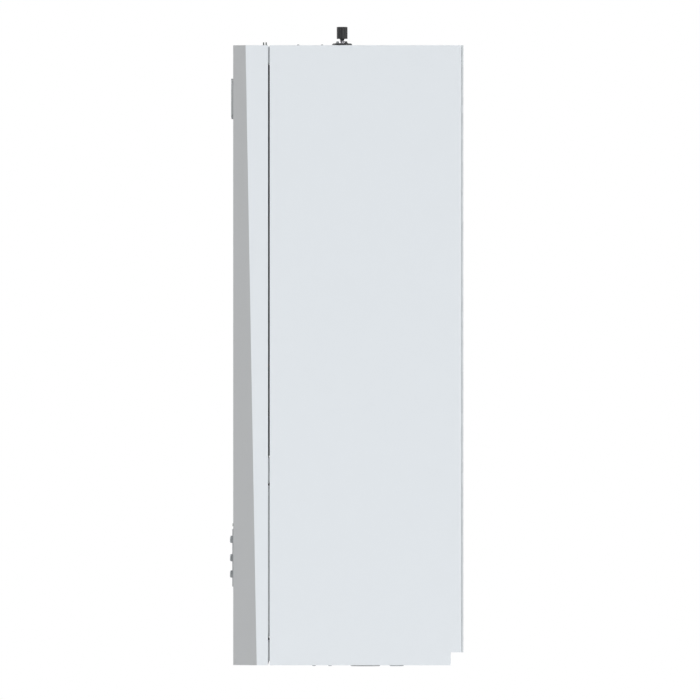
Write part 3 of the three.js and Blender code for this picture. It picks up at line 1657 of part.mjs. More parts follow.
// Circuit board with its switches, display, relays, capacitors and plugs.
{
  const margin = 8;
  const switchHalf = 4;
  const lap = 0.5; // how deep a component sits in the board
  const displayFront = panelFace + fasciaSkin + fit;
  const relayWidth = 18;
  const relayDepth = 12;
  const relayPitch = 24;
  const relayLeft = -120;
  const canRadius = 8;
  const canDepth = 12;
  const canX = 30;
  const plugWidth = 22;
  const plugDepth = 10;
  const plugHeight = 9;
  const plugPitch = 28;
  const boardHalf = boxHalfWidth - margin;
  const boardLow = boxBottom + margin;
  const boardHigh = boxTop - margin;
  const seat = boardFront + lap;
  const board = block([-boardHalf, boardHalf], [boardFront, boardFront + boardThickness - fit],
    [boardLow, boardHigh]);
  const switches = buttonHeights.map((z) =>
    block(span(buttonX, switchHalf), [switchFront, seat], span(z, switchHalf)),
  );
  const display = block([displayLeft, displayRight], [displayFront, seat], [displayLow, displayHigh]);
  const relays = [0, 1, 2, 3].map((n) => {
    const x = relayLeft + n * relayPitch;
    return block([x, x + relayWidth], [boardFront - relayDepth, seat],
      [boardHigh - 2 * relayWidth, boardHigh - relayWidth]);
  });
  const cans = [0, 1].map((n) =>
    disc("y", canX + 3 * n * canRadius, boardHigh - relayWidth, canRadius,
      boardFront - canDepth, seat, smallSides),
  );
  const plugs = [-2, -1, 0, 1, 2].map((n) =>
    block(span(n * plugPitch, plugWidth / 2), [boardFront - plugDepth, seat],
      [boardLow + margin, boardLow + margin + plugHeight]),
  );
  addPiece("circuit_board", join(board, display, ...switches, ...relays, ...cans, ...plugs), greenBoard);
}

// Push buttons: a domed cap, a flange behind the panel's skin and a stem that meets its switch.
{
  const edge = 0.8;
  const capFront = panelFace - buttonProud;
  const flangeFront = panelFace + fasciaSkin + fit;
  const flangeRear = flangeFront + buttonFlangeDepth;
  const stemEnd = switchFront - buttonTravel - fit;
  const shape = turned("y", 0, 0, [
    [0, capFront],
    [buttonRadius - edge, capFront],
    [buttonRadius, capFront + edge],
    [buttonRadius, flangeFront],
    [buttonFlange, flangeFront],
    [buttonFlange, flangeRear],
    [buttonStem, flangeRear],
    [buttonStem, stemEnd],
    [0, stemEnd],
  ]);
  ["top", "middle", "bottom"].forEach((place, i) => {
    addPiece("button_" + place, shape, greyPlastic).position.set(buttonX, 0, buttonHeights[i]);
  });
}

export default boiler;
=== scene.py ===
# A wall-hung, room-sealed gas boiler, dressed for the picture. Metres, in the frame of the packed
# model: the wall is the plane y = 0, the front looks along -Y, and +Z is up.
import json
import math

import bpy
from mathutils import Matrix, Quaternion, Vector


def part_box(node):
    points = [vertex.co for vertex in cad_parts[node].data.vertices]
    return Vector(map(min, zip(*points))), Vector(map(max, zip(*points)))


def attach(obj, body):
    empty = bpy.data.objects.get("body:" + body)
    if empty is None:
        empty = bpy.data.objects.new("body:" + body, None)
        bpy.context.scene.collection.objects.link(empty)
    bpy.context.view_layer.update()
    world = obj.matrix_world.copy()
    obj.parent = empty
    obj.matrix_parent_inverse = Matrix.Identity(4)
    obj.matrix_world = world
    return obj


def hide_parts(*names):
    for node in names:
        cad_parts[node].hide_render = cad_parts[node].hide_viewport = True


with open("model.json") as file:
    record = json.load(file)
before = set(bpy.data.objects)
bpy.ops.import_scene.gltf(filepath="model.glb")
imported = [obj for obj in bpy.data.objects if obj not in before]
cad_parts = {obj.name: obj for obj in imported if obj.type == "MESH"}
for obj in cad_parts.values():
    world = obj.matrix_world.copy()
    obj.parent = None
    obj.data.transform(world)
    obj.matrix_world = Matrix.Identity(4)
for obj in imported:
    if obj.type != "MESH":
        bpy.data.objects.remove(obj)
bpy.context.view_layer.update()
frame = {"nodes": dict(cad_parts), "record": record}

# Studio. The camera looks square at the right side of the boiler, from so far away that the side
# shows almost no perspective. Broad soft lamps stand at the right and behind it, at the front left
# and at the back left, so that the bevels of the front cover are a little darker than the sides.
picture_width = 0.7902  # metres of the boiler's side that the picture spans
picture_middle = (-0.1281, 0.0059)  # y and z
camera_distance = 35.1  # from the side panel
casing_right = 0.2

bpy.ops.object.select_all(action="DESELECT")
bpy.ops.object.camera_add(
    location=(casing_right + camera_distance, *picture_middle),
    rotation=(math.pi / 2, 0, math.pi / 2),
)
camera = bpy.context.object
camera.name = "Camera"
camera.data.lens = camera.data.sensor_width * camera_distance / picture_width
camera.data.clip_end = 100
bpy.context.scene.camera = camera
bpy.context.scene.view_settings.view_transform = "Standard"


def linear(code):
    """The linear colour of an sRGB hex value."""
    steps = [int(code[i : i + 2], 16) / 255 for i in (1, 3, 5)]
    return [s / 12.92 if s <= 0.04045 else ((s + 0.055) / 1.055) ** 2.4 for s in steps] + [1]


def node(tree, kind, inputs={}, **settings):
    """Adds a node, or takes one that is there, with settings and with values or links for inputs."""
    made = tree.nodes.new("ShaderNode" + kind) if isinstance(kind, str) else kind
    for name, value in settings.items():
        setattr(made, name, value)
    for name, value in inputs.items():
        if isinstance(value, bpy.types.NodeSocket):
            tree.links.new(value, made.inputs[name])
        else:
            made.inputs[name].default_value = value
    return made


def lamp(name, strength, toward, width):
    """A white sun lamp that shines from a direction, as wide as a large soft box."""
    bpy.ops.object.light_add(type="SUN", location=toward)
    made = bpy.context.object
    made.name = name
    made.data.energy = strength
    made.data.angle = math.radians(width)
    made.rotation_euler = Vector(toward).to_track_quat("Z", "Y").to_euler()


lamp("Lamp_right", 1.92, (0.62, 0.60, 0.45), 50)
lamp("Lamp_front", 1.75, (-0.50, -0.77, 0.38), 50)
lamp("Lamp_left", 0.70, (-0.80, 0.42, 0.42), 60)

white, fill_tint, fill_strength = linear("#FFFFFF"), linear("#F6FAFF"), 0.30
world = bpy.data.worlds.new("Studio")
bpy.context.scene.world = world
world.use_nodes = True
sky = world.node_tree
sky.nodes.clear()
rays = node(sky, "LightPath").outputs
seen = node(sky, "Math", {0: rays["Is Camera Ray"], 1: rays["Is Glossy Ray"]}, operation="MAXIMUM")
seen = node(sky, "Math", {0: seen.outputs[0], 1: rays["Is Transmission Ray"]}, operation="MAXIMUM")
backdrop = node(sky, "Background", {"Color": white, "Strength": 1.0})
fill = node(sky, "Background", {"Color": fill_tint, "Strength": fill_strength})
both = node(sky, "MixShader", {0: seen.outputs[0], 1: fill.outputs[0], 2: backdrop.outputs[0]})
node(sky, "OutputWorld", {"Surface": both.outputs[0]})

# Floor of the studio: a wide pale sheet, well under the boiler, which hangs above it.
floor_height, floor_reach = -0.78, 14.0
glow_share = 0.8  # of what the camera and reflections see of the sheet

bpy.ops.mesh.primitive_circle_add(
    vertices=64, radius=floor_reach, fill_type="NGON", location=(0, 0, floor_height))
floor = bpy.context.object
floor.name = "Studio_floor"
paper = bpy.data.materials.new("Matt background paper")
paper.use_nodes = True
tree = paper.node_tree
tree.nodes.clear()
rays = node(tree, "LightPath").outputs
matt = node(tree, "BsdfDiffuse", {"Color": linear("#FAFAFA")})
glow = node(tree, "Emission", {"Color": white, "Strength": 1.0})
seen = node(tree, "Math", {0: rays["Is Camera Ray"], 1: rays["Is Glossy Ray"]}, operation="MAXIMUM")
share = node(tree, "Math", {0: seen.outputs[0], 1: glow_share}, operation="MULTIPLY")
both = node(tree, "MixShader", {0: share.outputs[0], 1: matt.outputs[0], 2: glow.outputs[0]})
node(tree, "OutputMaterial", {"Surface": both.outputs[0]})
floor.data.materials.append(paper)

# Casing: side, top and bottom panels of 1.2 mm steel, folded, and coated with a white polyester
# powder that is baked on. The powder leaves a fine orange peel and rounds the folded edges.
peel_size = 0.0022  # from one bump of the orange peel to the next
fold_rounding = 0.0005
bend_radius = 0.0016  # outside of the folds along the side panels' edges
sheet_edge = 0.00022  # rounding that the powder leaves on the sheets' cut edges
flue_hole = 0.056
closeness = 1e-5  # corners this near to a plane lie on it


def start_material(name):
    """A new material with its node tree, its shader and the object's own coordinates."""
    made = bpy.data.materials.new(name)
    made.use_nodes = True
    tree = made.node_tree
    return made, tree, tree.nodes["Principled BSDF"], node(tree, "TexCoord").outputs["Object"]


def surface(name, colours, roughness, tone=None, gloss=None, relief=(), spots=None, stretch=None,
            sockets={}):
    """A finish with patterns of real sizes. Each is a grain in metres and a detail. The tone runs
    from one colour to the other, the gloss from one roughness to the other, and the relief raises
    bumps by a strength and a depth. Spots are the range of the tone's pattern that shows, and a
    stretch draws all patterns out along an axis."""
    made, tree, shader, place = start_material(name)
    if stretch:
        place = node(tree, "Mapping", {"Vector": place, "Scale": stretch}).outputs[0]
    clouds = {}
    for pattern in (tone, gloss, relief[:2]):
        if pattern and pattern not in clouds:
            clouds[pattern] = node(tree, "TexNoise", {
                "Vector": place, "Scale": 1 / pattern[0], "Detail": pattern[1]}).outputs["Fac"]
    looks = {"Base Color": colours, "Roughness": roughness, **sockets}
    if tone:
        share = clouds[tone]
        if spots:
            share = node(tree, "MapRange", {"Value": share, "From Min": spots[0],
                                            "From Max": spots[1]}).outputs["Result"]
        tint = node(tree, "Mix", {0: share, 6: colours[0], 7: colours[1]}, data_type="RGBA")
        looks["Base Color"] = tint.outputs[2]
    if gloss:
        looks["Roughness"] = node(tree, "MapRange", {
            "Value": clouds[gloss], "To Min": roughness[0], "To Max": roughness[1]}).outputs["Result"]
    if relief:
        looks["Normal"] = node(tree, "Bump", {"Height": clouds[relief[:2]], "Strength": relief[2],
                                              "Distance": relief[3]}).outputs["Normal"]
    if "Emission Strength" in sockets:
        looks["Emission Color"] = looks["Base Color"]
    node(tree, shader, looks)
    return made


def powder_coat(name, code, roughness):
    """Baked powder on steel: an even colour, a faint mottle in the gloss and an orange peel."""
    return surface(name, linear(code), (roughness - 0.04, roughness + 0.05), gloss=(0.09, 3),
                   relief=(peel_size, 1, 0.12, 0.0001),
                   sockets={"IOR": 1.5, "Specular IOR Level": 0.4})


def only(piece):
    """Selects one object and nothing else."""
    bpy.ops.object.select_all(action="DESELECT")
    piece.select_set(True)
    bpy.context.view_layer.objects.active = piece


def fit_out(piece, name, finish, body, angle=35):
    """Places, smooths, names and paints a finished piece, and lets it ride on its body."""
    only(piece)
    bpy.ops.object.transform_apply(location=True, rotation=True, scale=True)
    bpy.ops.object.shade_smooth_by_angle(angle=math.radians(angle))
    flat = piece.modifiers.new("Even faces", "WEIGHTED_NORMAL")
    flat.keep_sharp = True
    bpy.ops.object.modifier_apply(modifier=flat.name)
    piece.name = piece.data.name = name
    piece.data.materials.clear()
    piece.data.materials.append(finish)
    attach(piece, body)
    return piece


bodies = frame["record"]["behaviour"]["bodies"]
body_of = {name: body for body, names in bodies.items() for name in names}


def stands_for(piece, name, finish, angle=35):
    """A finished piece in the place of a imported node."""
    fit_out(piece, name + "_finished", finish, body_of[name], angle)
    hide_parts(name)
    return piece


def combine(piece, others, way):
    """Melts other closed pieces into one, or takes them away from it."""
    for other in others:
        only(piece)
        change = piece.modifiers.new("Change", "BOOLEAN")
        change.operation = way
        change.object = other
        bpy.ops.object.modifier_apply(modifier=change.name)
        bpy.data.objects.remove(other)
    return piece


def carve(piece, *cutters):
    return combine(piece, cutters, "DIFFERENCE")


def choose(piece, kind, wanted):
    """Opens a piece for editing, with those of its corners, edges or faces selected that are wanted."""
    only(piece)
    bpy.ops.object.mode_set(mode="EDIT")
    bpy.ops.mesh.select_mode(type=kind)
    bpy.ops.mesh.select_all(action="DESELECT")
    bpy.ops.object.mode_set(mode="OBJECT")
    mesh = piece.data
    for part in {"VERT": mesh.vertices, "EDGE": mesh.edges, "FACE": mesh.polygons}[kind]:
        part.select = wanted(part)
    bpy.ops.object.mode_set(mode="EDIT")


def soften(piece, width, segments=2, sharp=30):
    """Rounds a piece's sharp edges."""
    choose(piece, "EDGE", lambda edge: False)
    bpy.ops.mesh.edges_select_sharp(sharpness=math.radians(sharp))
    bpy.ops.mesh.bevel(offset=width, segments=segments, affect="EDGES", clamp_overlap=True)
    bpy.ops.object.mode_set(mode="OBJECT")
    return piece


def round_off(name, finish, rounding, segments=2, sharp=31, cutters=(), fold=None):
    """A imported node's own shape with its sharp edges rounded, as a piece that stands for it. The
    edges on a fold are bent with the sheet's own radius."""
    piece = bpy.data.objects.new(name + "_finished", frame["nodes"][name].data.copy())
    bpy.context.scene.collection.objects.link(piece)
    only(piece)
    bpy.ops.mesh.customdata_custom_splitnormals_clear()
    bpy.ops.object.mode_set(mode="EDIT")
    bpy.ops.mesh.select_all(action="SELECT")
    bpy.ops.mesh.remove_doubles(threshold=1e-6)
    bpy.ops.mesh.dissolve_limited(angle_limit=math.radians(1))
    bpy.ops.object.mode_set(mode="OBJECT")
    carve(piece, *cutters)
    if fold:
        choose(piece, "EDGE",
               lambda edge: all(fold(piece.data.vertices[i].co) for i in edge.vertices))
        bpy.ops.mesh.bevel(offset=bend_radius, segments=5, affect="EDGES", clamp_overlap=True)
        bpy.ops.object.mode_set(mode="OBJECT")
    if rounding:
        soften(piece, rounding, segments, sharp)
    return stands_for(piece, name, finish, sharp)


def facing(piece, place, toward=(0, 0, 1), turn=0.0):
    """Turns a piece about its own +z, points that to a direction and puts the piece in its place."""
    only(piece)
    piece.rotation_mode = "QUATERNION"
    piece.rotation_quaternion = (Vector(toward).to_track_quat("Z", "Y")
                                 @ Quaternion((0, 0, 1), turn))
    piece.location = place
    bpy.ops.object.transform_apply(location=True, rotation=True)
    return piece


def turned(rings, place=None, toward=(0, 0, 1), sides=32, hollow=False):
    """A turned piece, drawn up from a disc. Each ring is a radius and a height. The rings of a
    hollow piece run round its wall and close on the first."""
    (radius, height), *more = rings
    bpy.ops.object.select_all(action="DESELECT")
    bpy.ops.mesh.primitive_circle_add(vertices=sides, radius=radius, location=(0, 0, height),
                                      fill_type="NOTHING" if hollow else "NGON")
    piece = bpy.context.object
    bpy.ops.object.transform_apply(location=True)
    bpy.ops.object.mode_set(mode="EDIT")
    bpy.ops.mesh.select_mode(type="VERT")
    bpy.ops.mesh.select_all(action="SELECT")
    for wide, high in [*more, rings[0]] if hollow else more:
        bpy.ops.mesh.extrude_region_move(TRANSFORM_OT_translate={"value": (0, 0, high - height)})
        share = wide / radius
        bpy.ops.transform.resize(value=(share, share, 1), center_override=(0, 0, high))
        radius, height = wide, high
    bpy.ops.mesh.select_all(action="SELECT")
    if hollow:
        bpy.ops.mesh.remove_doubles(threshold=1e-6)
    bpy.ops.mesh.normals_make_consistent(inside=False)
    bpy.ops.object.mode_set(mode="OBJECT")
    return facing(piece, place, toward) if place else piece


def place_of(name, axis):
    """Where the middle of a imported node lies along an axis."""
    low, high = (corner["xyz".index(axis)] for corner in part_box(name))
    return low + (high - low) * 0.5


powder = powder_coat("White polyester powder coat", "#E7EBEE", 0.36)
for name in ("side_panel_right", "side_panel_left"):
    low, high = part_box(name)
    outside = max(low.x, high.x, key=abs)
    round_off(name, powder, sheet_edge, fold=lambda place: (
        abs(place.x - outside) < closeness and abs(place.y - high.y) < closeness))
round_off("bottom_panel", powder, fold_rounding, segments=3)
casing_top, flue_y = 0.35, place_of("flue_collar", "y")
flue_punch = turned([(flue_hole, -0.02), (flue_hole, 0.02)], (0, flue_y, casing_top), sides=96)
lid_sheet = round_off("top_panel", powder, fold_rounding, segments=3, cutters=[flue_punch])

# Back panel: a plate of hot-dip galvanised steel with two keyhole slots, two pressed swages that
# stiffen it, and the dimples of the clinch joints that hold it to the side panels' flanges. The
# zinc sets in dull flakes, a little lighter and darker from one to the next.
flake_size = 0.011
swage_width, swage_length, swage_depth = 0.016, 0.44, 0.001
swage_middles, swage_foot = (-0.09, 0.09), -0.26
clinch_x, clinch_foot, clinch_pitch = 0.191, -0.31, 0.105
to_wall, to_front = (0, 1, 0), (0, -1, 0)


def pull(piece, chosen, by):
    """Moves the corners of a piece that lie at certain places."""
    choose(piece, "VERT", lambda corner: chosen(corner.co))
    bpy.ops.transform.translate(value=by)
    bpy.ops.object.mode_set(mode="OBJECT")
    return piece


galvanised, tree, shader, place = start_material("Hot-dip galvanised steel")
flakes = node(tree, "TexVoronoi", {"Vector": place, "Scale": 1 / flake_size, "Randomness": 1.0})
shares = node(tree, "SeparateColor", {"Color": flakes.outputs["Color"]}).outputs
zinc = node(tree, "Mix", {0: shares[0], 6: linear("#C0C4C6"), 7: linear("#CACED0")}, data_type="RGBA")
dull = node(tree, "MapRange", {"Value": shares[1], "To Min": 0.36, "To Max": 0.50})
rims = node(tree, "Bump", {"Height": flakes.outputs["Distance"], "Strength": 0.15,
                           "Distance": 0.0001})
node(tree, shader, {"Base Color": zinc.outputs[2], "Roughness": dull.outputs["Result"],
                    "Metallic": 0.75, "Normal": rims.outputs["Normal"]})
cutters = []
for x in swage_middles:
    slope = 2.5 * swage_depth
    groove = turned([(swage_width / 2 - slope, -swage_depth), (swage_width / 2 + slope, swage_depth)])
    pull(groove, lambda place: place.y > 1e-6, (0, swage_length, 0))
    cutters.append(facing(groove, (x, 0, swage_foot), to_wall))
for side in (-1, 1):
    for n in range(7):
        cutters.append(turned([(0.0024, -0.0009), (0.0036, 0.0009)],
                              (side * clinch_x, 0, clinch_foot + clinch_pitch * n), to_wall))
round_off("back_panel", galvanised, 0.0003, sharp=12, cutters=cutters)

# Screws: pan heads of zinc-plated steel with a cross recess, turned and pressed. One head of each
# size is modelled and copied. They hold the bottom panel from below, two at each side.
bottom_screws = [(side * 0.18, y) for side in (-1, 1) for y in (-0.1688, -0.1507)]


def plated_steel(name, code, roughness, metallic=0.95):
    """Steel with a thin bright coat: turning marks, a little uneven in their gloss, and coarser
    than real ones so that they show."""
    return surface(name, linear(code), (roughness - 0.08, roughness + 0.1), gloss=(0.0012, 4),
                   sockets={"Metallic": metallic})


def bar(low, high):
    """A plain bar between two corners, as a start for shaping."""
    bpy.ops.object.select_all(action="DESELECT")
    size = [b - a for a, b in zip(low, high)]
    middle = [(a + b) / 2 for a, b in zip(low, high)]
    bpy.ops.mesh.primitive_cube_add(size=1, location=middle, scale=size)
    bpy.ops.object.transform_apply(location=True, rotation=True, scale=True)
    return bpy.context.object


def screw_head(radius, height):
    """A pan head with a cross recess, standing on z = 0."""
    head = turned([(radius, 0), (radius, height * 0.45), (radius * 0.92, height * 0.75),
                   (radius * 0.72, height * 0.95), (radius * 0.4, height)], sides=20)
    arm, half_arm, recess = radius * 0.62, radius * 0.13, height * 0.5
    return carve(head, bar((-arm, -half_arm, recess), (arm, half_arm, 2 * height)),
                 bar((-half_arm, -arm, recess), (half_arm, arm, 2 * height)))


def copy_of(pattern):
    """A copy with its own mesh."""
    piece = pattern.copy()
    piece.data = pattern.data.copy()
    bpy.context.scene.collection.objects.link(piece)
    return piece


def fasten(pattern, finish, rows, keep=False):
    """Copies of a piece that stands on z = 0, each with a name, a place, a direction and a turn.
    The pattern is taken away afterwards, unless it is kept for more."""
    for name, place, toward, turn in rows:
        fit_out(facing(copy_of(pattern), place, toward, turn), name, finish, "casing")
    if not keep:
        bpy.data.objects.remove(pattern)


zinc_plated = plated_steel("Zinc-plated steel", "#A9ACAE", 0.35)
fasten(screw_head(0.002, 0.0011), zinc_plated, [
    (f"bottom_screw_{n}", (x, y, -0.35), (0, 0, -1), 0.4 * n)
    for n, (x, y) in enumerate(bottom_screws)])

# Front cover: a shell of the same steel, pressed with two bevelled sides that widen downwards. The
# face and the bevels, which look to the front, have a greyer coat than the sides. The grey is partly
# the coat's own colour and partly painted shade, for the shade that the bevels take from the light.


def paint(piece, finish, chosen):
    """A second finish on some faces of a piece."""
    piece.data.materials.append(finish)
    for face in piece.data.polygons:
        if chosen(face):
            face.material_index = 1


cover = round_off("front_cover", powder, 0.0007, segments=3)
# Faces that look more to the front are greyer: a grey coat with painted shade of the bevels in it.
paint(cover, powder_coat("Light grey polyester powder coat", "#C9CACA", 0.34),
      lambda face: face.normal.y < -0.3)

# Buffers: studs of black rubber pressed into the casing's front edge, on which the cover rests. One
# at each side shows in the gap as a dark dot.
casing_rim, cover_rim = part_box("side_panel_right")[0].y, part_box("front_cover")[1].y
buffer_height = casing_rim - cover_rim - 0.0002
buffer_x, buffer_heights = 0.1972, (-0.1459, -0.32)
hands = ((-1, "left"), (1, "right"))


def shade(code, share):
    """The linear colour of a hex value, made darker or lighter."""
    return [min(1, share * part) for part in linear(code)[:3]] + [1]


def moulded_rubber(name, code, roughness, grain, specular=0.5):
    """Moulded rubber: matt, near black, with a fine cloudy bloom."""
    bloom = (grain, 5)
    return surface(name, (linear(code), shade(code, 1.6)), roughness, tone=bloom,
                   relief=(*bloom, 0.3, 0.0002),
                   sockets={"IOR": 1.52, "Specular IOR Level": specular})


rubber = moulded_rubber("Black EPDM rubber", "#121213", 0.75, 0.004, specular=0.1)
fasten(turned([(0.0013, 0), (0.0013, buffer_height * 0.6), (0.0009, buffer_height)], sides=16),
       rubber, [
    (f"buffer_{hand}_{n}", (side * buffer_x, casing_rim, z), to_front, 0)
    for side, hand in hands for n, z in enumerate(buffer_heights)])

# Felt strips: grey needled felt on the casing's front flanges, between the buffers under the sealed
# chamber and above it. They close the gap to the light and are painted shade: grey sheets set in
# the gap between cover and casing, where the gap shows shade.
felt = moulded_rubber("Grey needled felt", "#A9ACAD", 0.95, 0.0018)
felt_runs = ((-0.345, -0.3224), (-0.3176, -0.1483), (-0.1435, -0.116), (0.329, 0.3485))
for side, hand in hands:
    inner, outer = sorted((side * 0.1935, side * 0.1985))
    for n, (low_end, high_end) in enumerate(felt_runs):
        # Each strip is a grey sheet set in the gap as painted shade.
        strip = bar((inner, cover_rim + 0.0003, low_end), (outer, casing_rim, high_end))
        fit_out(soften(strip, 0.0002), f"felt_strip_{hand}_{n}", felt, "casing")

# Top panel's pips: the domed heads of two rivets of dull steel, one behind the other.
rivet_rise = 0.0009
pull(lid_sheet, lambda place: place.z > casing_top + 0.0003, (0, 0, rivet_rise))
paint(lid_sheet, plated_steel("Dull steel of blind rivets", "#777A7C", 0.5),
      lambda face: face.center.z > casing_top + 0.00005)

# Gasket of the sealed chamber: a bar of closed-cell EPDM foam, glued to the casing's front frame.
# The ends of its level bars are closed with solid rubber, which shows blacker than the foam.
gasket_ends = 0.19  # from the middle
gasket = round_off(
    "chamber_gasket", moulded_rubber("Closed-cell EPDM foam", "#202021", 0.9, 0.0016), 0.0003)
paint(gasket, rubber, lambda face: abs(face.center.x) > gasket_ends)

# Clips of the cover: bent from spring steel strip and plated with a grey-green zinc.
spring_plate = plated_steel("Grey-green zinc plate on spring steel", "#5F6561", 0.5)
for name in ("cover_clip_right", "cover_clip_left"):
    round_off(name, spring_plate, 0.0002)

# Badge plate: bare aluminium, blanked and brushed along its length, with a ridge all round its
# edge. The brushing leaves fine streaks in the gloss and in the colour. Nothing is printed on it.
brush_pitch, streak_length = 0.0004, 60  # metres, and pitches
ridge_reach, ridge_step = 0.0025, 0.0003
badge_grey = "#A6A9AB"
badge = round_off("cover_badge", surface(
    "Brushed anodised aluminium", (shade(badge_grey, 0.86), linear(badge_grey)), (0.32, 0.52),
    tone=(1.0, 2), gloss=(1.0, 2), sockets={"Metallic": 0.85},
    stretch=(1 / (brush_pitch * streak_length), 1 / brush_pitch, 1 / brush_pitch)), 0.0002)
only(badge)
bpy.ops.object.mode_set(mode="EDIT")
bpy.ops.mesh.select_mode(type="FACE")  # the rounded edges are still selected
bpy.ops.mesh.inset(thickness=ridge_reach)
bpy.ops.mesh.inset(thickness=ridge_step)
bpy.ops.transform.translate(value=(0, ridge_step, 0))
bpy.ops.object.mode_set(mode="OBJECT")

# Flue collar: a die-cast aluminium flange under the top panel, with the socket of the flue gas duct
# inside the socket of the air duct, on three spokes. A lip seal lies in each socket.
collar_low, collar_high = (corner.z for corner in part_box("flue_collar"))
rim, rim_wall = 0.053, 0.003
collar_flange, flange_under, panel_under = 0.064, 0.3458, 0.3488
inner_socket, inner_wall, inner_top = 0.032, 0.003, 0.3408


def cast_metal(name, code, grain, roughness, metallic=0.9):
    """Cast metal: a fine pebbled skin, with soft patches where the mould was cooler."""
    return surface(name, (shade(code, 0.78), linear(code)), (roughness - 0.06, roughness + 0.1),
                   tone=(0.03, 3), gloss=(grain, 2), relief=(grain, 2, 0.35, 0.0002),
                   sockets={"Metallic": metallic})


def unite(piece, *others):
    return combine(piece, others, "UNION")


def bars_round(low, high, turns):
    """Bars between two corners, each turned about the z axis by one of some angles."""
    made = []
    for degrees in turns:
        made.append(bar(low, high))
        made[-1].rotation_euler.z = math.radians(degrees)
        bpy.ops.object.transform_apply(rotation=True)
    return made


die_cast = cast_metal("Die-cast aluminium", "#AEB0B1", 0.0009, 0.45)
collar = turned([
    (rim - rim_wall, collar_low), (rim, collar_low), (rim, flange_under),
    (collar_flange - 0.0005, flange_under), (collar_flange, flange_under + 0.0005),
    (collar_flange, panel_under), (rim, panel_under), (rim, collar_high - 0.0006),
    (rim - 0.0006, collar_high), (rim - rim_wall + 0.0008, collar_high),
    (rim - rim_wall, collar_high - 0.0008),
], sides=96, hollow=True)
socket = turned([
    (inner_socket - inner_wall, collar_low), (inner_socket, collar_low),
    (inner_socket, inner_top - 0.0008), (inner_socket - 0.0008, inner_top),
    (inner_socket - inner_wall + 0.0008, inner_top), (inner_socket - inner_wall, inner_top - 0.0008),
], sides=72, hollow=True)
spokes = bars_round((inner_socket - inner_wall / 2, -0.0015, collar_low),
                    (rim - rim_wall / 2, 0.0015, (collar_low + panel_under) / 2), (90, 210, 330))
collar = facing(unite(collar, *spokes, socket), (0, flue_y, 0))
stands_for(collar, "flue_collar", die_cast)

lip_seal = moulded_rubber("Black EPDM lip seal", "#1D1D1E", 0.6, 0.003)
lips = ((0.0001, 0.009), (0.0001, 0.004), (0.0009, 0.0045), (0.0014, 0.0058), (0.0010, 0.0065),
        (0.0014, 0.0078), (0.0009, 0.0088))  # inwards from the bore, and down from the mouth
for name, bore, mouth in (("flue_seal_outer", rim - rim_wall, collar_high),
                          ("flue_seal_inner", inner_socket - inner_wall, inner_top)):
    seal = turned([(bore - inwards, mouth - down) for inwards, down in lips], (0, flue_y, 0),
                  sides=72, hollow=True)
    fit_out(seal, name, lip_seal, "casing", 50)

# Automatic air vent: a turned brass float chamber whose threaded stem is nickel plated and has a
# thinner neck under a ribbed cap of black nylon. A black flange closes the hole in the top panel
# and is held by two screws. Heights are over the top panel.
vent_place = (place_of("air_vent_body", "x"), place_of("air_vent_body", "y"), casing_top)
vent_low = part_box("air_vent_body")[0].z - casing_top
stem, neck, thread_pitch, thread_depth = 0.0031, 0.0016, 0.0004, 0.0003


def moulded_plastic(name, code, roughness, grain=0.0007, relief=0.12):
    """Injection-moulded plastic: one colour, with the fine spark-eroded grain of the mould."""
    skin = (grain, 2)
    return surface(name, (linear(code), shade(code, 1.12)), (roughness - 0.05, roughness + 0.08),
                   tone=skin, gloss=skin, relief=(*skin, relief, 0.0002), sockets={"IOR": 1.49})


# Machined brass is warm and bright, with brown patches where it has begun to tarnish.
brass_yellow, tarnish = "#B8975A", (0.012, 4)
brass = surface("Machined brass", (linear(brass_yellow), shade(brass_yellow, 0.62)), (0.24, 0.48),
                tone=tarnish, gloss=tarnish, spots=(0.35, 0.7), sockets={"Metallic": 1.0})
nylon = moulded_plastic("Black glass-filled nylon", "#1B1C1D", 0.5)
chamber = turned([
    (0.005, vent_low), (0.005, vent_low + 0.012), (0.0142, vent_low + 0.012),
    (0.015, vent_low + 0.0128), (0.015, -0.0023), (0.0144, -0.0015), (stem, -0.0015), (stem, 0.0025),
    *[(stem - thread_depth * (n % 2), 0.0025 + thread_pitch * n) for n in range(1, 8)],
    (stem - 0.0008, 0.0057), (neck, 0.0058), (neck, 0.0081),
], vent_place, sides=48)
stands_for(chamber, "air_vent_body", brass)
paint(chamber, plated_steel("Bright nickel plate on brass", "#DAD9DD", 0.28),
      lambda face: face.center.z > casing_top)

flange_reach, flange_high = 0.0113, 0.0025
flange = turned([
    (stem + 0.0003, 0), (flange_reach, 0), (flange_reach, flange_high * 0.6),
    (flange_reach - 0.0012, flange_high), (stem + 0.0020, flange_high),
    (stem + 0.0012, flange_high * 0.6), (stem + 0.0003, flange_high * 0.6),
], vent_place, sides=48, hollow=True)
stands_for(flange, "air_vent_flange", nylon)

cap_low, cap_high = (corner.z - casing_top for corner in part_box("air_vent_cap"))
cap_reach, cap_ribs, rib_swell = 0.0061, 12, 1.085
rib_steps = 8  # corners from rib to rib; the first four of them stand out
cap = turned([
    (cap_reach - 0.0007, cap_low), (cap_reach - 0.0005, cap_low + 0.0002),
    (cap_reach - 0.0005, cap_high - 0.0005), (cap_reach - 0.0009, cap_high - 0.0001),
    (cap_reach - 0.0014, cap_high), (cap_reach - 0.0034, cap_high),
    (cap_reach - 0.0038, cap_high - 0.0005),
], sides=rib_steps * cap_ribs)


def on_rib(corner):
    """Whether a corner of the cap's side lies on one of its ribs."""
    x, y = corner.co.xy
    step = round(math.atan2(y, x) * rib_steps * cap_ribs / (2 * math.pi)) % rib_steps
    return math.hypot(x, y) > cap_reach - 0.0010 and step < 4


choose(cap, "VERT", on_rib)
bpy.ops.transform.resize(value=(rib_swell, rib_swell, 1), center_override=(0, 0, 0))
bpy.ops.object.mode_set(mode="OBJECT")
bore = turned([(stem + 0.0004, cap_low - 0.001), (stem + 0.0004, 0.0086)])
stands_for(facing(carve(cap, bore), vent_place), "air_vent_cap", nylon, 30)

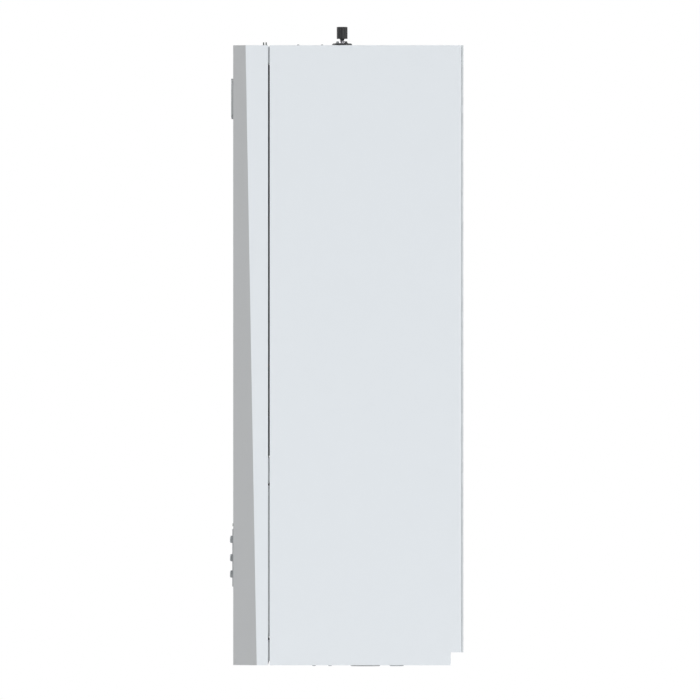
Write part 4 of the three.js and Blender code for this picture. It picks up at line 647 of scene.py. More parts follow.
# Sleeve of the air vent: a tapered ring of the same nylon that seals the neck under the cap.
sleeve = turned([(neck + 0.00005, 0.0059), (neck + 0.0004, 0.0059), (neck + 0.0011, 0.0074),
                 (neck + 0.0011, 0.0078), (neck + 0.00005, 0.0078)],
                vent_place, sides=40, hollow=True)
fit_out(sleeve, "vent_neck_sleeve", nylon, "casing", 40)

# Screws of the flange: washer heads with a cross recess, one of dull zinc and one black.
dull_zinc = plated_steel("Weathered zinc plating", "#7C7E80", 0.5)
washer_head = unite(
    turned([(0.0024, -0.0002), (0.0024, 0.0003), (0.0021, 0.0006), (0.0012, 0.0009)], sides=28),
    screw_head(0.00155, 0.0024))
seats = [(vent_place[0] + x, vent_place[1] + y, casing_top + flange_high)
         for x, y in ((0.0064, -0.0051), (0.0066, 0.0043))]
fasten(washer_head, dull_zinc,
       [("vent_flange_screw_0", seats[0], (0, 0, 1), 0.5)], keep=True)
fasten(washer_head, nylon, [("vent_flange_screw_1", seats[1], (0, 0, 1), 0.5)])

# Sealed chamber: its front frame, its floor and the cross bar that carries the heat exchanger are
# bent from galvanised sheet. Pan-head screws hold the bar's two tabs to the side panels.
for name in ("chamber_frame", "chamber_floor", "exchanger_crossbar"):
    round_off(name, galvanised, 0.0003)
bar_low, bar_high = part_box("exchanger_crossbar")
fasten(screw_head(0.0042, 0.0024), zinc_plated, [
    (f"crossbar_screw_{hand}_{n}", (side * (bar_high.x - 0.002), bar_high.y - 0.012, z),
     (-side, 0, 0), 0.3 + n)
    for side, hand in hands for n, z in enumerate((bar_low.z + 0.011, bar_high.z - 0.011))])

# Heat exchanger: a shell of grey glass-filled polyamide with two stiffening ribs round it, a front
# flange, two water stubs, a cup for the flue duct and a sump for the condensate. Heights of the
# upright forms are over the shell's middle.
polyamide = moulded_plastic("Grey glass-filled polyamide", "#8D9193", 0.48, 0.0011, 0.25)
shell_z = place_of("burner_door", "z")
shell_front, shell_back = (corner.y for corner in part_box("heat_exchanger"))
shell_depth = shell_back - shell_front
shell_reach, shell_wall, flange_out, flange_thick = 0.084, 0.006, 0.094, 0.008
first_rib, rib_pitch, rib_high, rib_deep = 0.14 * shell_depth, 0.36 * shell_depth, 0.003, 0.005
cup_top, duct_out, duct_wall = shell_reach + 0.012, 0.0287, 0.0022
stub_y, stub_drop, stub_reach = shell_front + 0.026, 0.04, 0.104
sump_x, sump_y, sump_low = 0.06, shell_back - 0.44 * shell_depth, shell_z - 0.080


def rib_rings(start):
    """One rib round the shell."""
    return [(shell_reach, start), (shell_reach + rib_high, start + 0.0005),
            (shell_reach + rib_high, start + rib_deep - 0.0005), (shell_reach, start + rib_deep)]


shell = turned([
    (shell_reach - 0.003, 0), (shell_reach, 0.003),
    *rib_rings(first_rib), *rib_rings(first_rib + rib_pitch),
    (shell_reach, shell_depth - flange_thick), (flange_out - 0.0006, shell_depth - flange_thick),
    (flange_out, shell_depth - flange_thick + 0.0006), (flange_out, shell_depth - 0.0006),
    (flange_out - 0.0006, shell_depth),
], (0, shell_back, shell_z), to_front, sides=96)
above = (0, flue_y, shell_z)
cup = turned([(duct_out + 0.0043, 0.070), (duct_out + 0.0043, cup_top - 0.0008),
              (duct_out + 0.0035, cup_top)], above, sides=64)
sump = turned([(0.0102, -0.080), (0.011, -0.0792), (0.011, -0.05)], (sump_x, sump_y, shell_z))
stubs = [turned([(0.012, 0.07), (0.012, stub_reach - 0.0045), (0.0135, stub_reach - 0.0045),
                 (0.0135, stub_reach - 0.0006), (0.0129, stub_reach)],
                (0, stub_y, shell_z - side * stub_drop), (side, 0, 0)) for side in (-1, 1)]
shell = unite(shell, cup, sump, *stubs)
room = turned([(shell_reach - shell_wall, shell_wall), (shell_reach - shell_wall, 0.2)],
              (0, shell_back, shell_z), to_front, sides=96)
way = turned([(duct_out - duct_wall, 0.05), (duct_out - duct_wall, cup_top + 0.01)], above, sides=64)
seat = turned([(duct_out + 0.0003, shell_reach - 0.0003), (duct_out + 0.0003, cup_top + 0.01)],
              above, sides=64)
stands_for(carve(shell, room, way, seat), "heat_exchanger", polyamide, 32)

# Coil of the exchanger: a stainless tube with flattened sides, wound in four turns. Pickled
# stainless steel is grey and silky, and straw-coloured where it has been hot.
pickled, pickle_clouds = linear("#B9BBBB"), (0.025, 4)
straw = [pickled[0], pickled[1] * 0.75, pickled[2] * 0.4, 1]
stainless = surface("Pickled stainless steel", pickled, (0.27, 0.44), gloss=pickle_clouds,
                    sockets={"Metallic": 1.0})
fired_steel = surface("Heat-tinted stainless steel", (pickled, straw), (0.29, 0.46),
                      tone=pickle_clouds, gloss=pickle_clouds, sockets={"Metallic": 1.0})
coil_low, coil_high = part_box("heat_coil")
coil_out, coil_in, turns = 0.0774, 0.058, 4
turn_length = (coil_high.y - coil_low.y) / turns
windings = [(coil_out - drop, (n + share) * turn_length) for n in range(turns) for drop, share in (
    (0.0008, 0.12), (0, 0.25), (0, 0.75), (0.0008, 0.88), (0.003, 1))]
coil = turned([(coil_out - 0.003, 0), *windings, (coil_in, turns * turn_length), (coil_in, 0)],
              (0, coil_high.y, shell_z), to_front, sides=72, hollow=True)
stands_for(coil, "heat_coil", fired_steel)

# Flue duct: a grey polypropylene pipe, with a narrower upper end in the collar's socket.
polypropylene = moulded_plastic("Grey polypropylene", "#9A9EA0", 0.42, 0.0013, 0.1)
duct_low, duct_high = (corner.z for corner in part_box("flue_duct"))
duct_neck = inner_socket - inner_wall - 0.0003
duct = turned([
    (duct_out - duct_wall, duct_low), (duct_out, duct_low), (duct_out, duct_high - 0.026),
    (duct_neck, duct_high - 0.024), (duct_neck, duct_high - 0.0008),
    (duct_neck - 0.0008, duct_high), (duct_out - duct_wall, duct_high),
], (0, flue_y, 0), sides=72, hollow=True)
stands_for(duct, "flue_duct", polypropylene)

# Burner door: a cast plate with a stepped rim, held by eight nuts on the shell's studs. A sight
# glass, the ignition electrode and the foot of the mixture elbow sit on it.
door_front, door_rear = (corner.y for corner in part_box("burner_door"))
thick = door_rear - door_front
door_out, rim_wide, rim_step, elbow_bore = 0.092, 0.012, 0.002, 0.013
seat_reach, seat_deep = 0.0323, 0.0018
electrode_x, electrode_z = place_of("ignition_electrode", "x"), place_of("ignition_electrode", "z")
nut_flats, nut_tall, stud_reach, washer_thick = 0.008, 0.0042, 0.0021, 0.0008
sight_place = (0.042, door_front, shell_z + 0.030)

door = turned([
    (elbow_bore, seat_deep), (seat_reach, seat_deep), (seat_reach, 0), (door_out - 0.0006, 0),
    (door_out, 0.0006), (door_out, thick - rim_step - 0.0006), (door_out - 0.0006, thick - rim_step),
    (door_out - rim_wide, thick - rim_step), (door_out - rim_wide - 0.0005, thick - 0.0006),
    (door_out - rim_wide - rim_step, thick), (0.062, thick), (0.0612, thick - 0.0012),
    (0.0502, thick - 0.0012), (0.0494, thick), (0.0275, thick), (0.0268, thick - 0.0005),
    (elbow_bore, thick - 0.0005),
], (0, door_rear, shell_z), to_front, sides=96, hollow=True)
hole = turned([(0.0053, 0), (0.0053, 0.03)], (electrode_x, door_rear + 0.01, electrode_z), to_front)
stands_for(carve(door, hole), "burner_door", die_cast, 32)

corner = nut_flats / math.sqrt(3)
door_nut = unite(
    turned([(corner * 0.93, washer_thick), (corner, washer_thick + 0.12 * nut_tall),
            (corner, 0.85 * nut_tall), (corner * 0.9, nut_tall), (stud_reach, nut_tall),
            (stud_reach, nut_tall + 0.0012), (stud_reach * 0.7, nut_tall + 0.0017)], sides=6),
    turned([(nut_flats * 0.66, 0), (nut_flats * 0.66, washer_thick)], sides=24))


def on_circle(x, y, z, reach, angle):
    """A place on an upright circle that faces the front, at an angle in radians."""
    return (x + reach * math.cos(angle), y, z + reach * math.sin(angle))


stud_angles = [math.radians(22.5 + 45 * n) for n in range(8)]
fasten(door_nut, zinc_plated, [
    (f"door_nut_{n}", on_circle(0, door_front + rim_step, shell_z, door_out - rim_wide / 2, angle),
     to_front, angle) for n, angle in enumerate(stud_angles)])

bezel = turned([(0.0055, 0), (0.0095, 0), (0.0095, 0.0028), (0.0088, 0.0035), (0.0062, 0.0035),
                (0.0055, 0.0028)], sight_place, to_front, sides=40, hollow=True)
fit_out(bezel, "sight_glass_bezel", stainless, "casing")
# Mica is glossy and amber, in thin flakes of uneven brown.
mica = surface("Mica sight glass", (linear("#3A2A18"), linear("#6B4C2A")), 0.08, tone=(0.002, 2))
pane = turned([(0.0055, 0), (0.0055, 0.0016), (0.0048, 0.0020)], sight_place, to_front, sides=40)
fit_out(pane, "sight_glass", mica, "casing")

# Burner: a stainless cylinder on a flange, behind the door.
burner_low, burner_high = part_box("burner")
length = burner_high.y - burner_low.y
burner = turned([(0.032, 0), (0.032, 0.0015), (0.026, 0.0015), (0.026, length - 0.0012),
                 (0.0248, length)], sides=72)
hollow = turned([(0.0246, -0.001), (0.0246, length - 0.0014)], sides=72)
burner = facing(carve(burner, hollow), (0, burner_low.y, shell_z), to_wall)
stands_for(burner, "burner", fired_steel)

# Ignition electrode: a ceramic rod with a steel collar, and a wire of heat-resisting steel. Alumina
# is cream, with a clear glaze that makes it glossy.
glaze_white = "#E4DFD3"
alumina = surface("Glazed alumina ceramic", (shade(glaze_white, 0.88), linear(glaze_white)), 0.3,
                  tone=(0.0015, 3), sockets={"Coat Weight": 0.6, "Coat Roughness": 0.08})
rod_low, rod_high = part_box("ignition_electrode")
plug_length, plug_collar = rod_high.y - rod_low.y, door_front - 0.0003 - rod_low.y
rod = turned([
    (0.0036, 0), (0.0042, 0.0005), (0.0042, 0.004), (0.005, 0.0046), (0.005, plug_collar - 0.004),
    (0.008, plug_collar - 0.004), (0.008, plug_collar), (0.005, plug_collar),
    (0.005, plug_length - 0.0315), (0.0038, plug_length - 0.030), (0.0015, plug_length - 0.030),
    (0.0015, plug_length - 0.0003), (0.0012, plug_length),
], (electrode_x, rod_low.y, electrode_z), to_wall)
stands_for(rod, "ignition_electrode", alumina, 32)

# Pipes: drawn copper tube, bent over a former. The air has given it a brown cast in patches.
pipe_reach, pipe_bend, clearance = 0.009, 0.03, 0.0003
connection_y, floor_top = place_of("flow_union_nut", "y"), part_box("chamber_floor")[1].z
stub_end = stub_reach + clearance


def drawn_copper(name, bright, brown, roughness):
    patina = (0.02, 5)
    return surface(name, (linear(bright), linear(brown)), (roughness - 0.06, roughness + 0.16),
                   tone=patina, gloss=patina, spots=(0.42, 0.72), sockets={"Metallic": 1.0})


def bent_pipe(points, radius, bend, sides=32):
    """A round pipe along straight runs, each corner bent on an arc."""
    places = [Vector(point) for point in points]
    heading = (places[1] - places[0]).normalized()
    bpy.ops.object.select_all(action="DESELECT")
    bpy.ops.mesh.primitive_circle_add(
        vertices=sides, radius=radius, fill_type="NGON", location=places[0],
        rotation=heading.to_track_quat("Z", "Y").to_euler(),
    )
    pipe = bpy.context.object
    bpy.ops.object.transform_apply(location=True, rotation=True)
    bpy.ops.object.mode_set(mode="EDIT")
    bpy.ops.mesh.select_mode(type="VERT")
    bpy.ops.mesh.select_all(action="SELECT")
    here = places[0]
    for i in range(1, len(places) - 1):
        before, corner, after = places[i - 1 : i + 2]
        onward = (after - corner).normalized()
        room_before = (corner - before).length * (0.9 if i == 1 else 0.49)
        room_after = (after - corner).length * (0.9 if i == len(places) - 2 else 0.49)
        reach = min(bend, room_before, room_after)
        angle = heading.angle(onward)
        axis = heading.cross(onward).normalized()
        start = corner - heading * reach
        middle = start + axis.cross(heading) * reach / math.tan(angle / 2)
        bpy.ops.mesh.extrude_region_move(TRANSFORM_OT_translate={"value": start - here})
        bpy.ops.mesh.spin(steps=8, angle=angle, center=middle, axis=-axis)
        heading, here = onward, corner + onward * reach
    bpy.ops.mesh.extrude_region_move(TRANSFORM_OT_translate={"value": places[-1] - here})
    bpy.ops.mesh.select_all(action="SELECT")
    bpy.ops.mesh.remove_doubles(threshold=1e-6)
    bpy.ops.mesh.normals_make_consistent(inside=False)
    bpy.ops.object.mode_set(mode="OBJECT")
    return pipe


copper = drawn_copper("Drawn copper tube", "#C17C58", "#8C5138", 0.3)
flow_x, barrel_top = place_of("flow_union_nut", "x"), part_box("flow_block")[1].z
flow_pipe = bent_pipe([
    (-stub_end, stub_y, shell_z + stub_drop), (flow_x, stub_y, shell_z + stub_drop),
    (flow_x, stub_y, floor_top - pipe_bend - pipe_reach),
    (flow_x, connection_y, barrel_top + pipe_bend + pipe_reach),
    (flow_x, connection_y, barrel_top - 0.0077),
], pipe_reach, pipe_bend)
stands_for(flow_pipe, "flow_pipe", copper)

return_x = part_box("return_pipe")[1].x - pipe_reach
pump_x, pump_z = place_of("pump_impeller", "x"), place_of("pump_impeller", "z")
pump_out_x, outlet_seat = pump_x + 0.027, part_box("pump_body")[1].z - 0.008
run = floor_top - outlet_seat
return_pipe = bent_pipe([
    (stub_end, stub_y, shell_z - stub_drop), (return_x, stub_y, shell_z - stub_drop),
    (return_x, stub_y, outlet_seat + run * 0.65), (pump_out_x, connection_y, outlet_seat + run * 0.69),
    (pump_out_x, connection_y, outlet_seat + clearance),
], pipe_reach, pipe_bend)
stands_for(return_pipe, "return_pipe", copper)

# The gas pipe ends in the flanged tail that a union nut holds, open at its lower end.
nut_low, nut_high = (corner.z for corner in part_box("gas_union_nut"))
tail_end, tail_out, tail_bore, tail_rim, tail_rim_high = nut_low + 0.0067, 0.010, 0.0077, 0.0126, 0.003
valve_low, valve_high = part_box("gas_valve")
gas_x, gas_y, crossing = valve_high.x - 0.025, valve_high.y - 0.025, pump_z + 0.066
gas_pipe = bent_pipe([
    (0, connection_y, tail_end + 0.013), (0, connection_y, crossing), (gas_x, gas_y, crossing),
    (gas_x, gas_y, valve_low.z - clearance),
], 0.008, pipe_bend)
tail = turned([(tail_rim - 0.0004, tail_end), (tail_rim, tail_end + 0.0004),
               (tail_rim, tail_end + tail_rim_high), (tail_out, tail_end + tail_rim_high),
               (tail_out, nut_high + tail_out)], (0, connection_y, 0), sides=40)
hole = turned([(tail_bore, tail_end - 0.01), (tail_bore, nut_high)], (0, connection_y, 0), sides=40)
stands_for(carve(unite(gas_pipe, tail), hole), "gas_inlet_pipe", copper)

fan_x, fan_z = place_of("fan_impeller", "x"), place_of("fan_impeller", "z")
nipple_y, nipple_x, feed_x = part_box("fan_inlet")[0].y + 0.00675, fan_x + 0.0306, 0.034
valve_out = Vector((gas_x - 0.031, gas_y - 0.010, valve_low.z + 0.032))
feed = bent_pipe([
    (valve_out.x - clearance, *valve_out.yz), (feed_x, *valve_out.yz), (feed_x, nipple_y, fan_z),
    (nipple_x, nipple_y, fan_z),
], 0.005, 0.018, sides=24)
stands_for(feed, "gas_outlet_pipe", copper)

# Pipe joints: two brass compression nuts on the feed pipe, and stainless spring clips that hold the
# copper pipes on the exchanger's stubs.
feed_nut = turned([(0.0078, 0), (0.0088, 0.001), (0.0088, 0.009), (0.0078, 0.010), (0.0062, 0.010),
                   (0.0056, 0.0125)], sides=6)
fasten(feed_nut, brass, [
    ("feed_nut_valve", (valve_out.x - 0.0004, *valve_out.yz), (-1, 0, 0), 0.2),
    ("feed_nut_fan", (nipple_x + 0.0001, nipple_y, fan_z), (1, 0, 0), 0.5)])
spring_clip = turned([(0.0092, -0.003), (0.0144, -0.003), (0.0144, 0.0005), (0.0136, 0.0013),
                      (0.0136, 0.003), (0.0092, 0.003)], hollow=True)
fasten(spring_clip, stainless, [
    (f"stub_clip_{hand}", (side * (stub_reach + 0.0035), stub_y, shell_z - side * stub_drop),
     (side, 0, 0), 0) for side, hand in reversed(hands)])

# Mixture elbow: a cast aluminium bend with a round flange at the door and a square foot on the fan.
# Socket-head screws hold both.
elbow_start, elbow_foot = door_front - 0.0003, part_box("mixer_elbow")[0].z
outlet_y = place_of("fan_housing", "y")
elbow = bent_pipe([(0, elbow_start - 0.0001, shell_z), (0, outlet_y, shell_z),
                   (0, outlet_y, elbow_foot)], 0.016, 0.02, sides=48)
elbow_flange = turned([(0.0252, 0), (0.026, 0.0008), (0.026, 0.0044), (0.0254, 0.005)],
                      (0, elbow_start, shell_z), to_front, sides=64)
foot = bar((-0.02, outlet_y - 0.017, elbow_foot), (0.02, outlet_y + 0.017, elbow_foot + 0.005))
passage = bent_pipe([(0, elbow_start + 0.02, shell_z), (0, outlet_y, shell_z),
                     (0, outlet_y, elbow_foot - 0.02)], elbow_bore, 0.02, sides=48)
elbow = unite(elbow, elbow_flange, soften(foot, 0.0015))
stands_for(carve(elbow, passage), "mixer_elbow", die_cast, 32)
corners = ((-1, -1), (1, -1), (-1, 1), (1, 1))
socket_screw = carve(
    turned([(0.0032, 0), (0.0035, 0.0003), (0.0035, 0.0030), (0.0031, 0.0035)], sides=24),
    turned([(0.0017, 0.0018), (0.0017, 0.006)], sides=6))
fasten(socket_screw, zinc_plated, [
    *[(f"elbow_screw_{n}", on_circle(0, elbow_start - 0.005, shell_z, 0.0213,
                                     math.radians(-30 + 120 * n)), to_front, n) for n in range(3)],
    *[(f"elbow_foot_screw_{n}", (0.0165 * x, outlet_y + 0.0130 * y, elbow_foot + 0.005), (0, 0, 1), n)
      for n, (x, y) in enumerate(corners)]])

# Fan: a cast spiral housing, a black nylon wheel in it, and a nylon lid with the venturi and its
# gas nipple. The housing's outline is drawn from point to point, filled and pulled to its depth.
housing_front, housing_back = (corner.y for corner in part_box("fan_housing"))
spiral_start, spiral_end, outlet_width = 0.0486, 0.0618, 0.040  # radii, and the outlet's width
outlet_top, fan_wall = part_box("fan_housing")[1].z, 0.0025
lid_front = housing_front - fan_wall
throat, mouth, entry_reach, venturi_depth, venturi_reach = 0.021, 0.027, 0.0243, 0.0135, 0.030


def spiral_plate(wall, top, front, back, steps=96):
    """A plate with the fan's spiral outline, drawn in by a wall, between two depths."""
    inner = spiral_end - outlet_width
    start = math.acos(inner / spiral_start)
    outline = []
    for n in range(1, steps + 1):
        share = n / steps
        radius = spiral_start + (spiral_end - spiral_start) * share - wall
        outline.append(on_circle(fan_x, front, fan_z, radius, start + (2 * math.pi - start) * share))
    tongue = fan_z + (spiral_start - wall) * math.sin(start)
    outline += [(fan_x + spiral_end - wall, front, top), (fan_x + inner + wall, front, top),
                (fan_x + inner + wall, front, tongue)]
    bpy.ops.object.select_all(action="DESELECT")
    bpy.ops.mesh.primitive_plane_add(size=0.001, location=outline[0])
    piece = bpy.context.object
    bpy.ops.object.transform_apply(location=True)
    bpy.ops.object.mode_set(mode="EDIT")
    bpy.ops.mesh.select_mode(type="VERT")
    bpy.ops.mesh.select_all(action="SELECT")
    bpy.ops.mesh.merge(type="CENTER")
    for here, there in zip(outline, outline[1:]):
        bpy.ops.mesh.extrude_region_move(
            TRANSFORM_OT_translate={"value": [b - a for a, b in zip(here, there)]})
    bpy.ops.mesh.select_all(action="SELECT")
    bpy.ops.mesh.edge_face_add()
    bpy.ops.mesh.extrude_region_move(TRANSFORM_OT_translate={"value": (0, back - front, 0)})
    bpy.ops.mesh.select_all(action="SELECT")
    bpy.ops.mesh.normals_make_consistent(inside=False)
    bpy.ops.object.mode_set(mode="OBJECT")
    return piece


housing = spiral_plate(0, outlet_top, housing_front, housing_back)
room = spiral_plate(fan_wall, outlet_top + 0.001, housing_front - 0.001, housing_back - fan_wall)
shaft_hole = turned([(0.004, -0.005), (0.004, 0.005)], (fan_x, housing_back, fan_z), to_wall)
stands_for(soften(carve(housing, room, shaft_hole), 0.0004, sharp=50), "fan_housing", die_cast, 40)

lid = soften(spiral_plate(0, outlet_top, lid_front, housing_front), 0.0006, sharp=50)
lid_middle = (fan_x, lid_front, fan_z)
venturi = turned([
    (venturi_reach + 0.0014, -0.0012), (venturi_reach + 0.0014, 0.0001), (venturi_reach, 0.0014),
    (venturi_reach, venturi_depth - 0.0008), (venturi_reach - 0.0008, venturi_depth),
], lid_middle, to_front, sides=96)
entry = [(throat + (entry_reach - throat) * (n / 5) ** 2,
          venturi_depth / 2 * (1 - n / 5) - 0.0024 * n / 5) for n in range(5, -1, -1)]
widening = [(throat + (mouth - throat) * (n / 6) ** 2, venturi_depth / 2 * (1 + 0.93 * n / 6))
            for n in range(1, 7)]
nipple = turned([(0.0055, 0), (0.006, 0.0004), (0.006, 0.0052), (0.0055, 0.0058)],
                (fan_x + 0.0245, nipple_y, fan_z), (1, 0, 0))
air_way = turned([(0.0246, -0.005), *entry, *widening, (mouth + 0.0012, venturi_depth + 0.0006)],
                 lid_middle, to_front, sides=90)
nipple_bore = turned([(0.004, -0.008), (0.004, 0.008)], (fan_x + 0.0262, nipple_y, fan_z), (1, 0, 0))
stands_for(carve(unite(lid, venturi, nipple), air_way, nipple_bore), "fan_inlet", nylon, 40)
round_off("fan_impeller", nylon, 0, sharp=33)
fasten(screw_head(0.0028, 0.0017), zinc_plated, [
    (f"fan_lid_screw_{n}",
     on_circle(*lid_middle, 0.0445 + 0.013 * degrees / 360, math.radians(degrees)), to_front, 0.7 * n)
    for n, degrees in enumerate((75, 125, 180, 230, 285, 335))])

# Fan motor: a black nylon can with twelve cooling slots behind the housing, and a white connector.
motor_low, motor_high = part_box("fan_motor")
motor_length = motor_high.y - motor_low.y
motor = turned([
    (0.0394, 0), (0.040, 0.0006), (0.040, 0.0034), (0.0394, 0.004), (0.036, 0.004),
    (0.036, motor_length - 0.005), (0.0348, motor_length - 0.002), (0.031, motor_length),
], sides=96)
slots = bars_round((0.0335, -0.0022, 0.014), (0.040, 0.0022, 0.036), range(0, 360, 30))
shaft_bore = turned([(0.0034, -0.01), (0.0034, 0.0265)], sides=24)
motor = facing(carve(motor, shaft_bore, *slots), (fan_x, motor_low.y, fan_z), to_wall)
stands_for(motor, "fan_motor", nylon, 32)
connector = soften(bar((fan_x - 0.009, motor_high.y - 0.022, fan_z - 0.0445),
                       (fan_x + 0.009, motor_high.y - 0.008, fan_z - 0.0335)), 0.0008)
white_nylon = moulded_plastic("Natural nylon", "#E3E0D6", 0.45)
fit_out(connector, "fan_motor_connector", white_nylon, "casing", 30)

# Gas valve: a die-cast block with two black solenoid coils on its face, a pressure tapping, a
# plug-in connector and an outlet stub. Four hexagon screws hold the coils' plate.
valve_face = gas_y - 0.027
block_low = Vector((gas_x - 0.025, valve_face, valve_low.z))
block_high = Vector((gas_x + 0.025, valve_high.y, valve_high.z))
coil_reach = valve_face - valve_low.y
outlet_place = (gas_x, *valve_out.yz)
outlet_stub = turned([(0.009, 0), (0.009, 0.0285), (0.0098, 0.0285), (0.0098, 0.0305),
                      (0.0092, 0.031)], outlet_place, (-1, 0, 0))
bore = turned([(0.005, 0.012), (0.005, 0.05)], outlet_place, (-1, 0, 0))
rib_cuts = [bar((block_high.x - 0.0015, block_low.y + 0.006, block_low.z + 0.010 + 0.011 * n),
                (block_high.x + 0.01, block_high.y - 0.006, block_low.z + 0.014 + 0.011 * n))
            for n in range(4)]
valve = unite(soften(bar(block_low, block_high), 0.0018, segments=3), outlet_stub)
stands_for(carve(valve, bore, *rib_cuts), "gas_valve", die_cast, 32)
coil_black = moulded_plastic("Black epoxy moulding", "#202122", 0.38, 0.0009, 0.08)
solenoid = turned([
    (0.0122, 0), (0.013, 0.0008), (0.013, coil_reach - 0.005), (0.0115, coil_reach - 0.0035),
    (0.0058, coil_reach - 0.0035), (0.0058, coil_reach - 0.0006), (0.0052, coil_reach)], sides=48)
fasten(solenoid, coil_black, [
    (f"valve_solenoid_{n}", (gas_x, valve_face, z), to_front, 0)
    for n, z in enumerate((block_high.z - 0.016, block_low.z + 0.016))])
small_hex = turned([(0.0032, 0), (0.0035, 0.0004), (0.0035, 0.0018), (0.0030, 0.0023)], sides=6)
fasten(small_hex, zinc_plated, [
    (f"valve_screw_{n}",
     (gas_x + 0.0208 * x, valve_face, (block_low.z + block_high.z) / 2 + 0.0265 * z), to_front, 0.3 * n)
    for n, (x, z) in enumerate(corners)])
tapping = turned([(0.0042, 0), (0.0042, 0.0025), (0.0024, 0.0025), (0.0024, 0.0060),
                  (0.0030, 0.0064), (0.0024, 0.0072), (0.0012, 0.0072)], sides=24)
fasten(tapping, brass, [
    ("valve_tapping", (gas_x - 0.012, valve_face + 0.010, block_high.z), (0, 0, 1), 0)])
plug = soften(bar((gas_x - 0.004, valve_face + 0.020, block_high.z),
                  (gas_x + 0.014, valve_face + 0.034, block_high.z + 0.014)), 0.0009)
fit_out(plug, "valve_connector", white_nylon, "casing", 30)

# Expansion vessel: two steel bowls crimped together round a rubber diaphragm, stoved red. A filling
# valve with a black dust cap stands on its rim, and a stud in its middle holds it to the wall.
# Stoved enamel is a saturated colour under a clear gloss that has a slight orange peel.
vessel_red = "#A3231E"
red_enamel = surface("Red stoved enamel", (shade(vessel_red, 0.8), linear(vessel_red)), 0.38,
                     tone=(0.05, 3), relief=(0.0018, 1, 0.15, 0.0001),
                     sockets={"Coat Weight": 0.5, "Coat Roughness": 0.12})
vessel_low, vessel_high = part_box("expansion_vessel")
vessel_z, seam_out = (vessel_low.z + vessel_high.z) / 2, (vessel_high.z - vessel_low.z) / 2
bowl_out, crown_in, crown_deep, stud_length = seam_out - 0.005, seam_out - 0.032, 0.014, 0.0074
drum = vessel_high.y - vessel_low.y - stud_length
middle, end = stud_length + drum / 2, stud_length + drum
half_bowl = [(crown_in, 0), (crown_in + 0.008, 0.0008), (crown_in + 0.016, 0.0034),
             (crown_in + 0.0225, 0.0078), (crown_in + 0.0258, 0.0112), (bowl_out, crown_deep + 0.002)]
seam = [(bowl_out, middle - 0.003), (seam_out - 0.001, middle - 0.003), (seam_out, middle - 0.002),
        (seam_out, middle + 0.002), (seam_out - 0.001, middle + 0.003), (bowl_out, middle + 0.003)]
vessel = turned([
    (0.017, 0), (0.018, 0.001), (0.018, stud_length), *[(r, stud_length + z) for r, z in half_bowl],
    *seam, *[(r, end - z) for r, z in reversed(half_bowl)], (0.060, end), (0.0585, end - 0.0015),
    (0.030, end - 0.0015),
], (0, vessel_high.y, vessel_z), to_front, sides=128)
stands_for(vessel, "expansion_vessel", red_enamel, 32)
filler = turned([(0.0075, 0), (0.0075, 0.002), (0.0042, 0.0026), (0.0042, 0.006), (0.0060, 0.006),
                 (0.0060, 0.0165), (0.0052, 0.0175)])
fasten(filler, nylon, [
    ("vessel_filling_valve",
     (-0.1030, (vessel_low.y + vessel_high.y - stud_length) / 2 - 0.014, vessel_low.z + 0.032),
     (-0.75, 0, -0.66), 0)])

# Connections: five hexagon union nuts of brass, matt nickel plated and chamfered at both ends, each
# round a flanged tail. Their corners point to the wall and to the front. A grey-green fibre washer
# lies on each tail's end.
unions = ("flow", "hot_water", "gas", "cold_water", "return")
nut_width = 0.0306  # across the flats
corner = nut_width / math.sqrt(3)
nut = facing(carve(
    turned([(corner * 0.90, nut_low), (corner, nut_low + 0.0016), (corner, nut_high - 0.0016),
            (corner * 0.90, nut_high)], sides=6),
    turned([(tail_rim + 0.0011, nut_low - 0.001), (tail_rim + 0.0011, nut_low + 0.0005),
            (tail_rim + clearance, nut_low + 0.0013), (tail_rim + clearance, tail_end + 0.0033)],
           sides=48),
    turned([(tail_out + clearance, nut_low), (tail_out + clearance, nut_high + 0.01)], sides=48),
), (0, 0, 0))
union_places = {name: (place_of(name + "_union_nut", "x"), connection_y, 0) for name in unions}
matt_nickel = plated_steel("Matt nickel plate on brass", "#999A9B", 0.42)
for name, place in union_places.items():
    stands_for(facing(copy_of(nut), place), name + "_union_nut", matt_nickel, 32)
bpy.data.objects.remove(nut)
washer = turned([(tail_bore + 0.0003, tail_end - 0.0016), (tail_rim - 0.0004, tail_end - 0.0016),
                 (tail_rim - 0.0004, tail_end - 0.0001), (tail_bore + 0.0003, tail_end - 0.0001)],
                sides=40, hollow=True)
fibre = moulded_rubber("Grey-green fibre washer", "#5E6B66", 0.85, 0.0008)
fasten(washer, fibre,
       [(name + "_washer", place, (0, 0, 1), 0) for name, place in union_places.items()])

# Hydraulic blocks: forged brass, machined on their faces. Each has a hexagon plug.
for name in ("flow_block", "return_block"):
    round_off(name, brass, 0.001, segments=2, sharp=40)
block_bottom, block_top = nut_high + 0.008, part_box("return_block")[1].z
hex_plug = turned([(0.0092, 0), (0.0092, 0.0015), (0.0072, 0.0015), (0.0080, 0.0022),
                   (0.0080, 0.0062), (0.0070, 0.0070)], sides=6)
fasten(hex_plug, brass, [
    (f"block_plug_{hand}",
     (side * 0.100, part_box("return_block")[0].y, (block_bottom + block_top) / 2), to_front, 0.4)
    for side, hand in hands])

# Plate heat exchanger: a stack of stainless plates brazed with copper, which shows at the joints.
plate_pitch, braze_reach = 0.00511, 0.0006
stack = round_off("plate_heat_exchanger", stainless, 0.0005)
stack_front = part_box("plate_heat_exchanger")[0].y


def at_joint(face):
    """Whether a face of the stack's edge lies between two plates."""
    depth = face.center.y - stack_front
    off_joint = abs(depth - round(depth / plate_pitch) * plate_pitch)
    return abs(face.normal.y) < 0.8 and off_joint < braze_reach


paint(stack, drawn_copper("Copper braze", "#A9694A", "#7A4934", 0.4), at_joint)

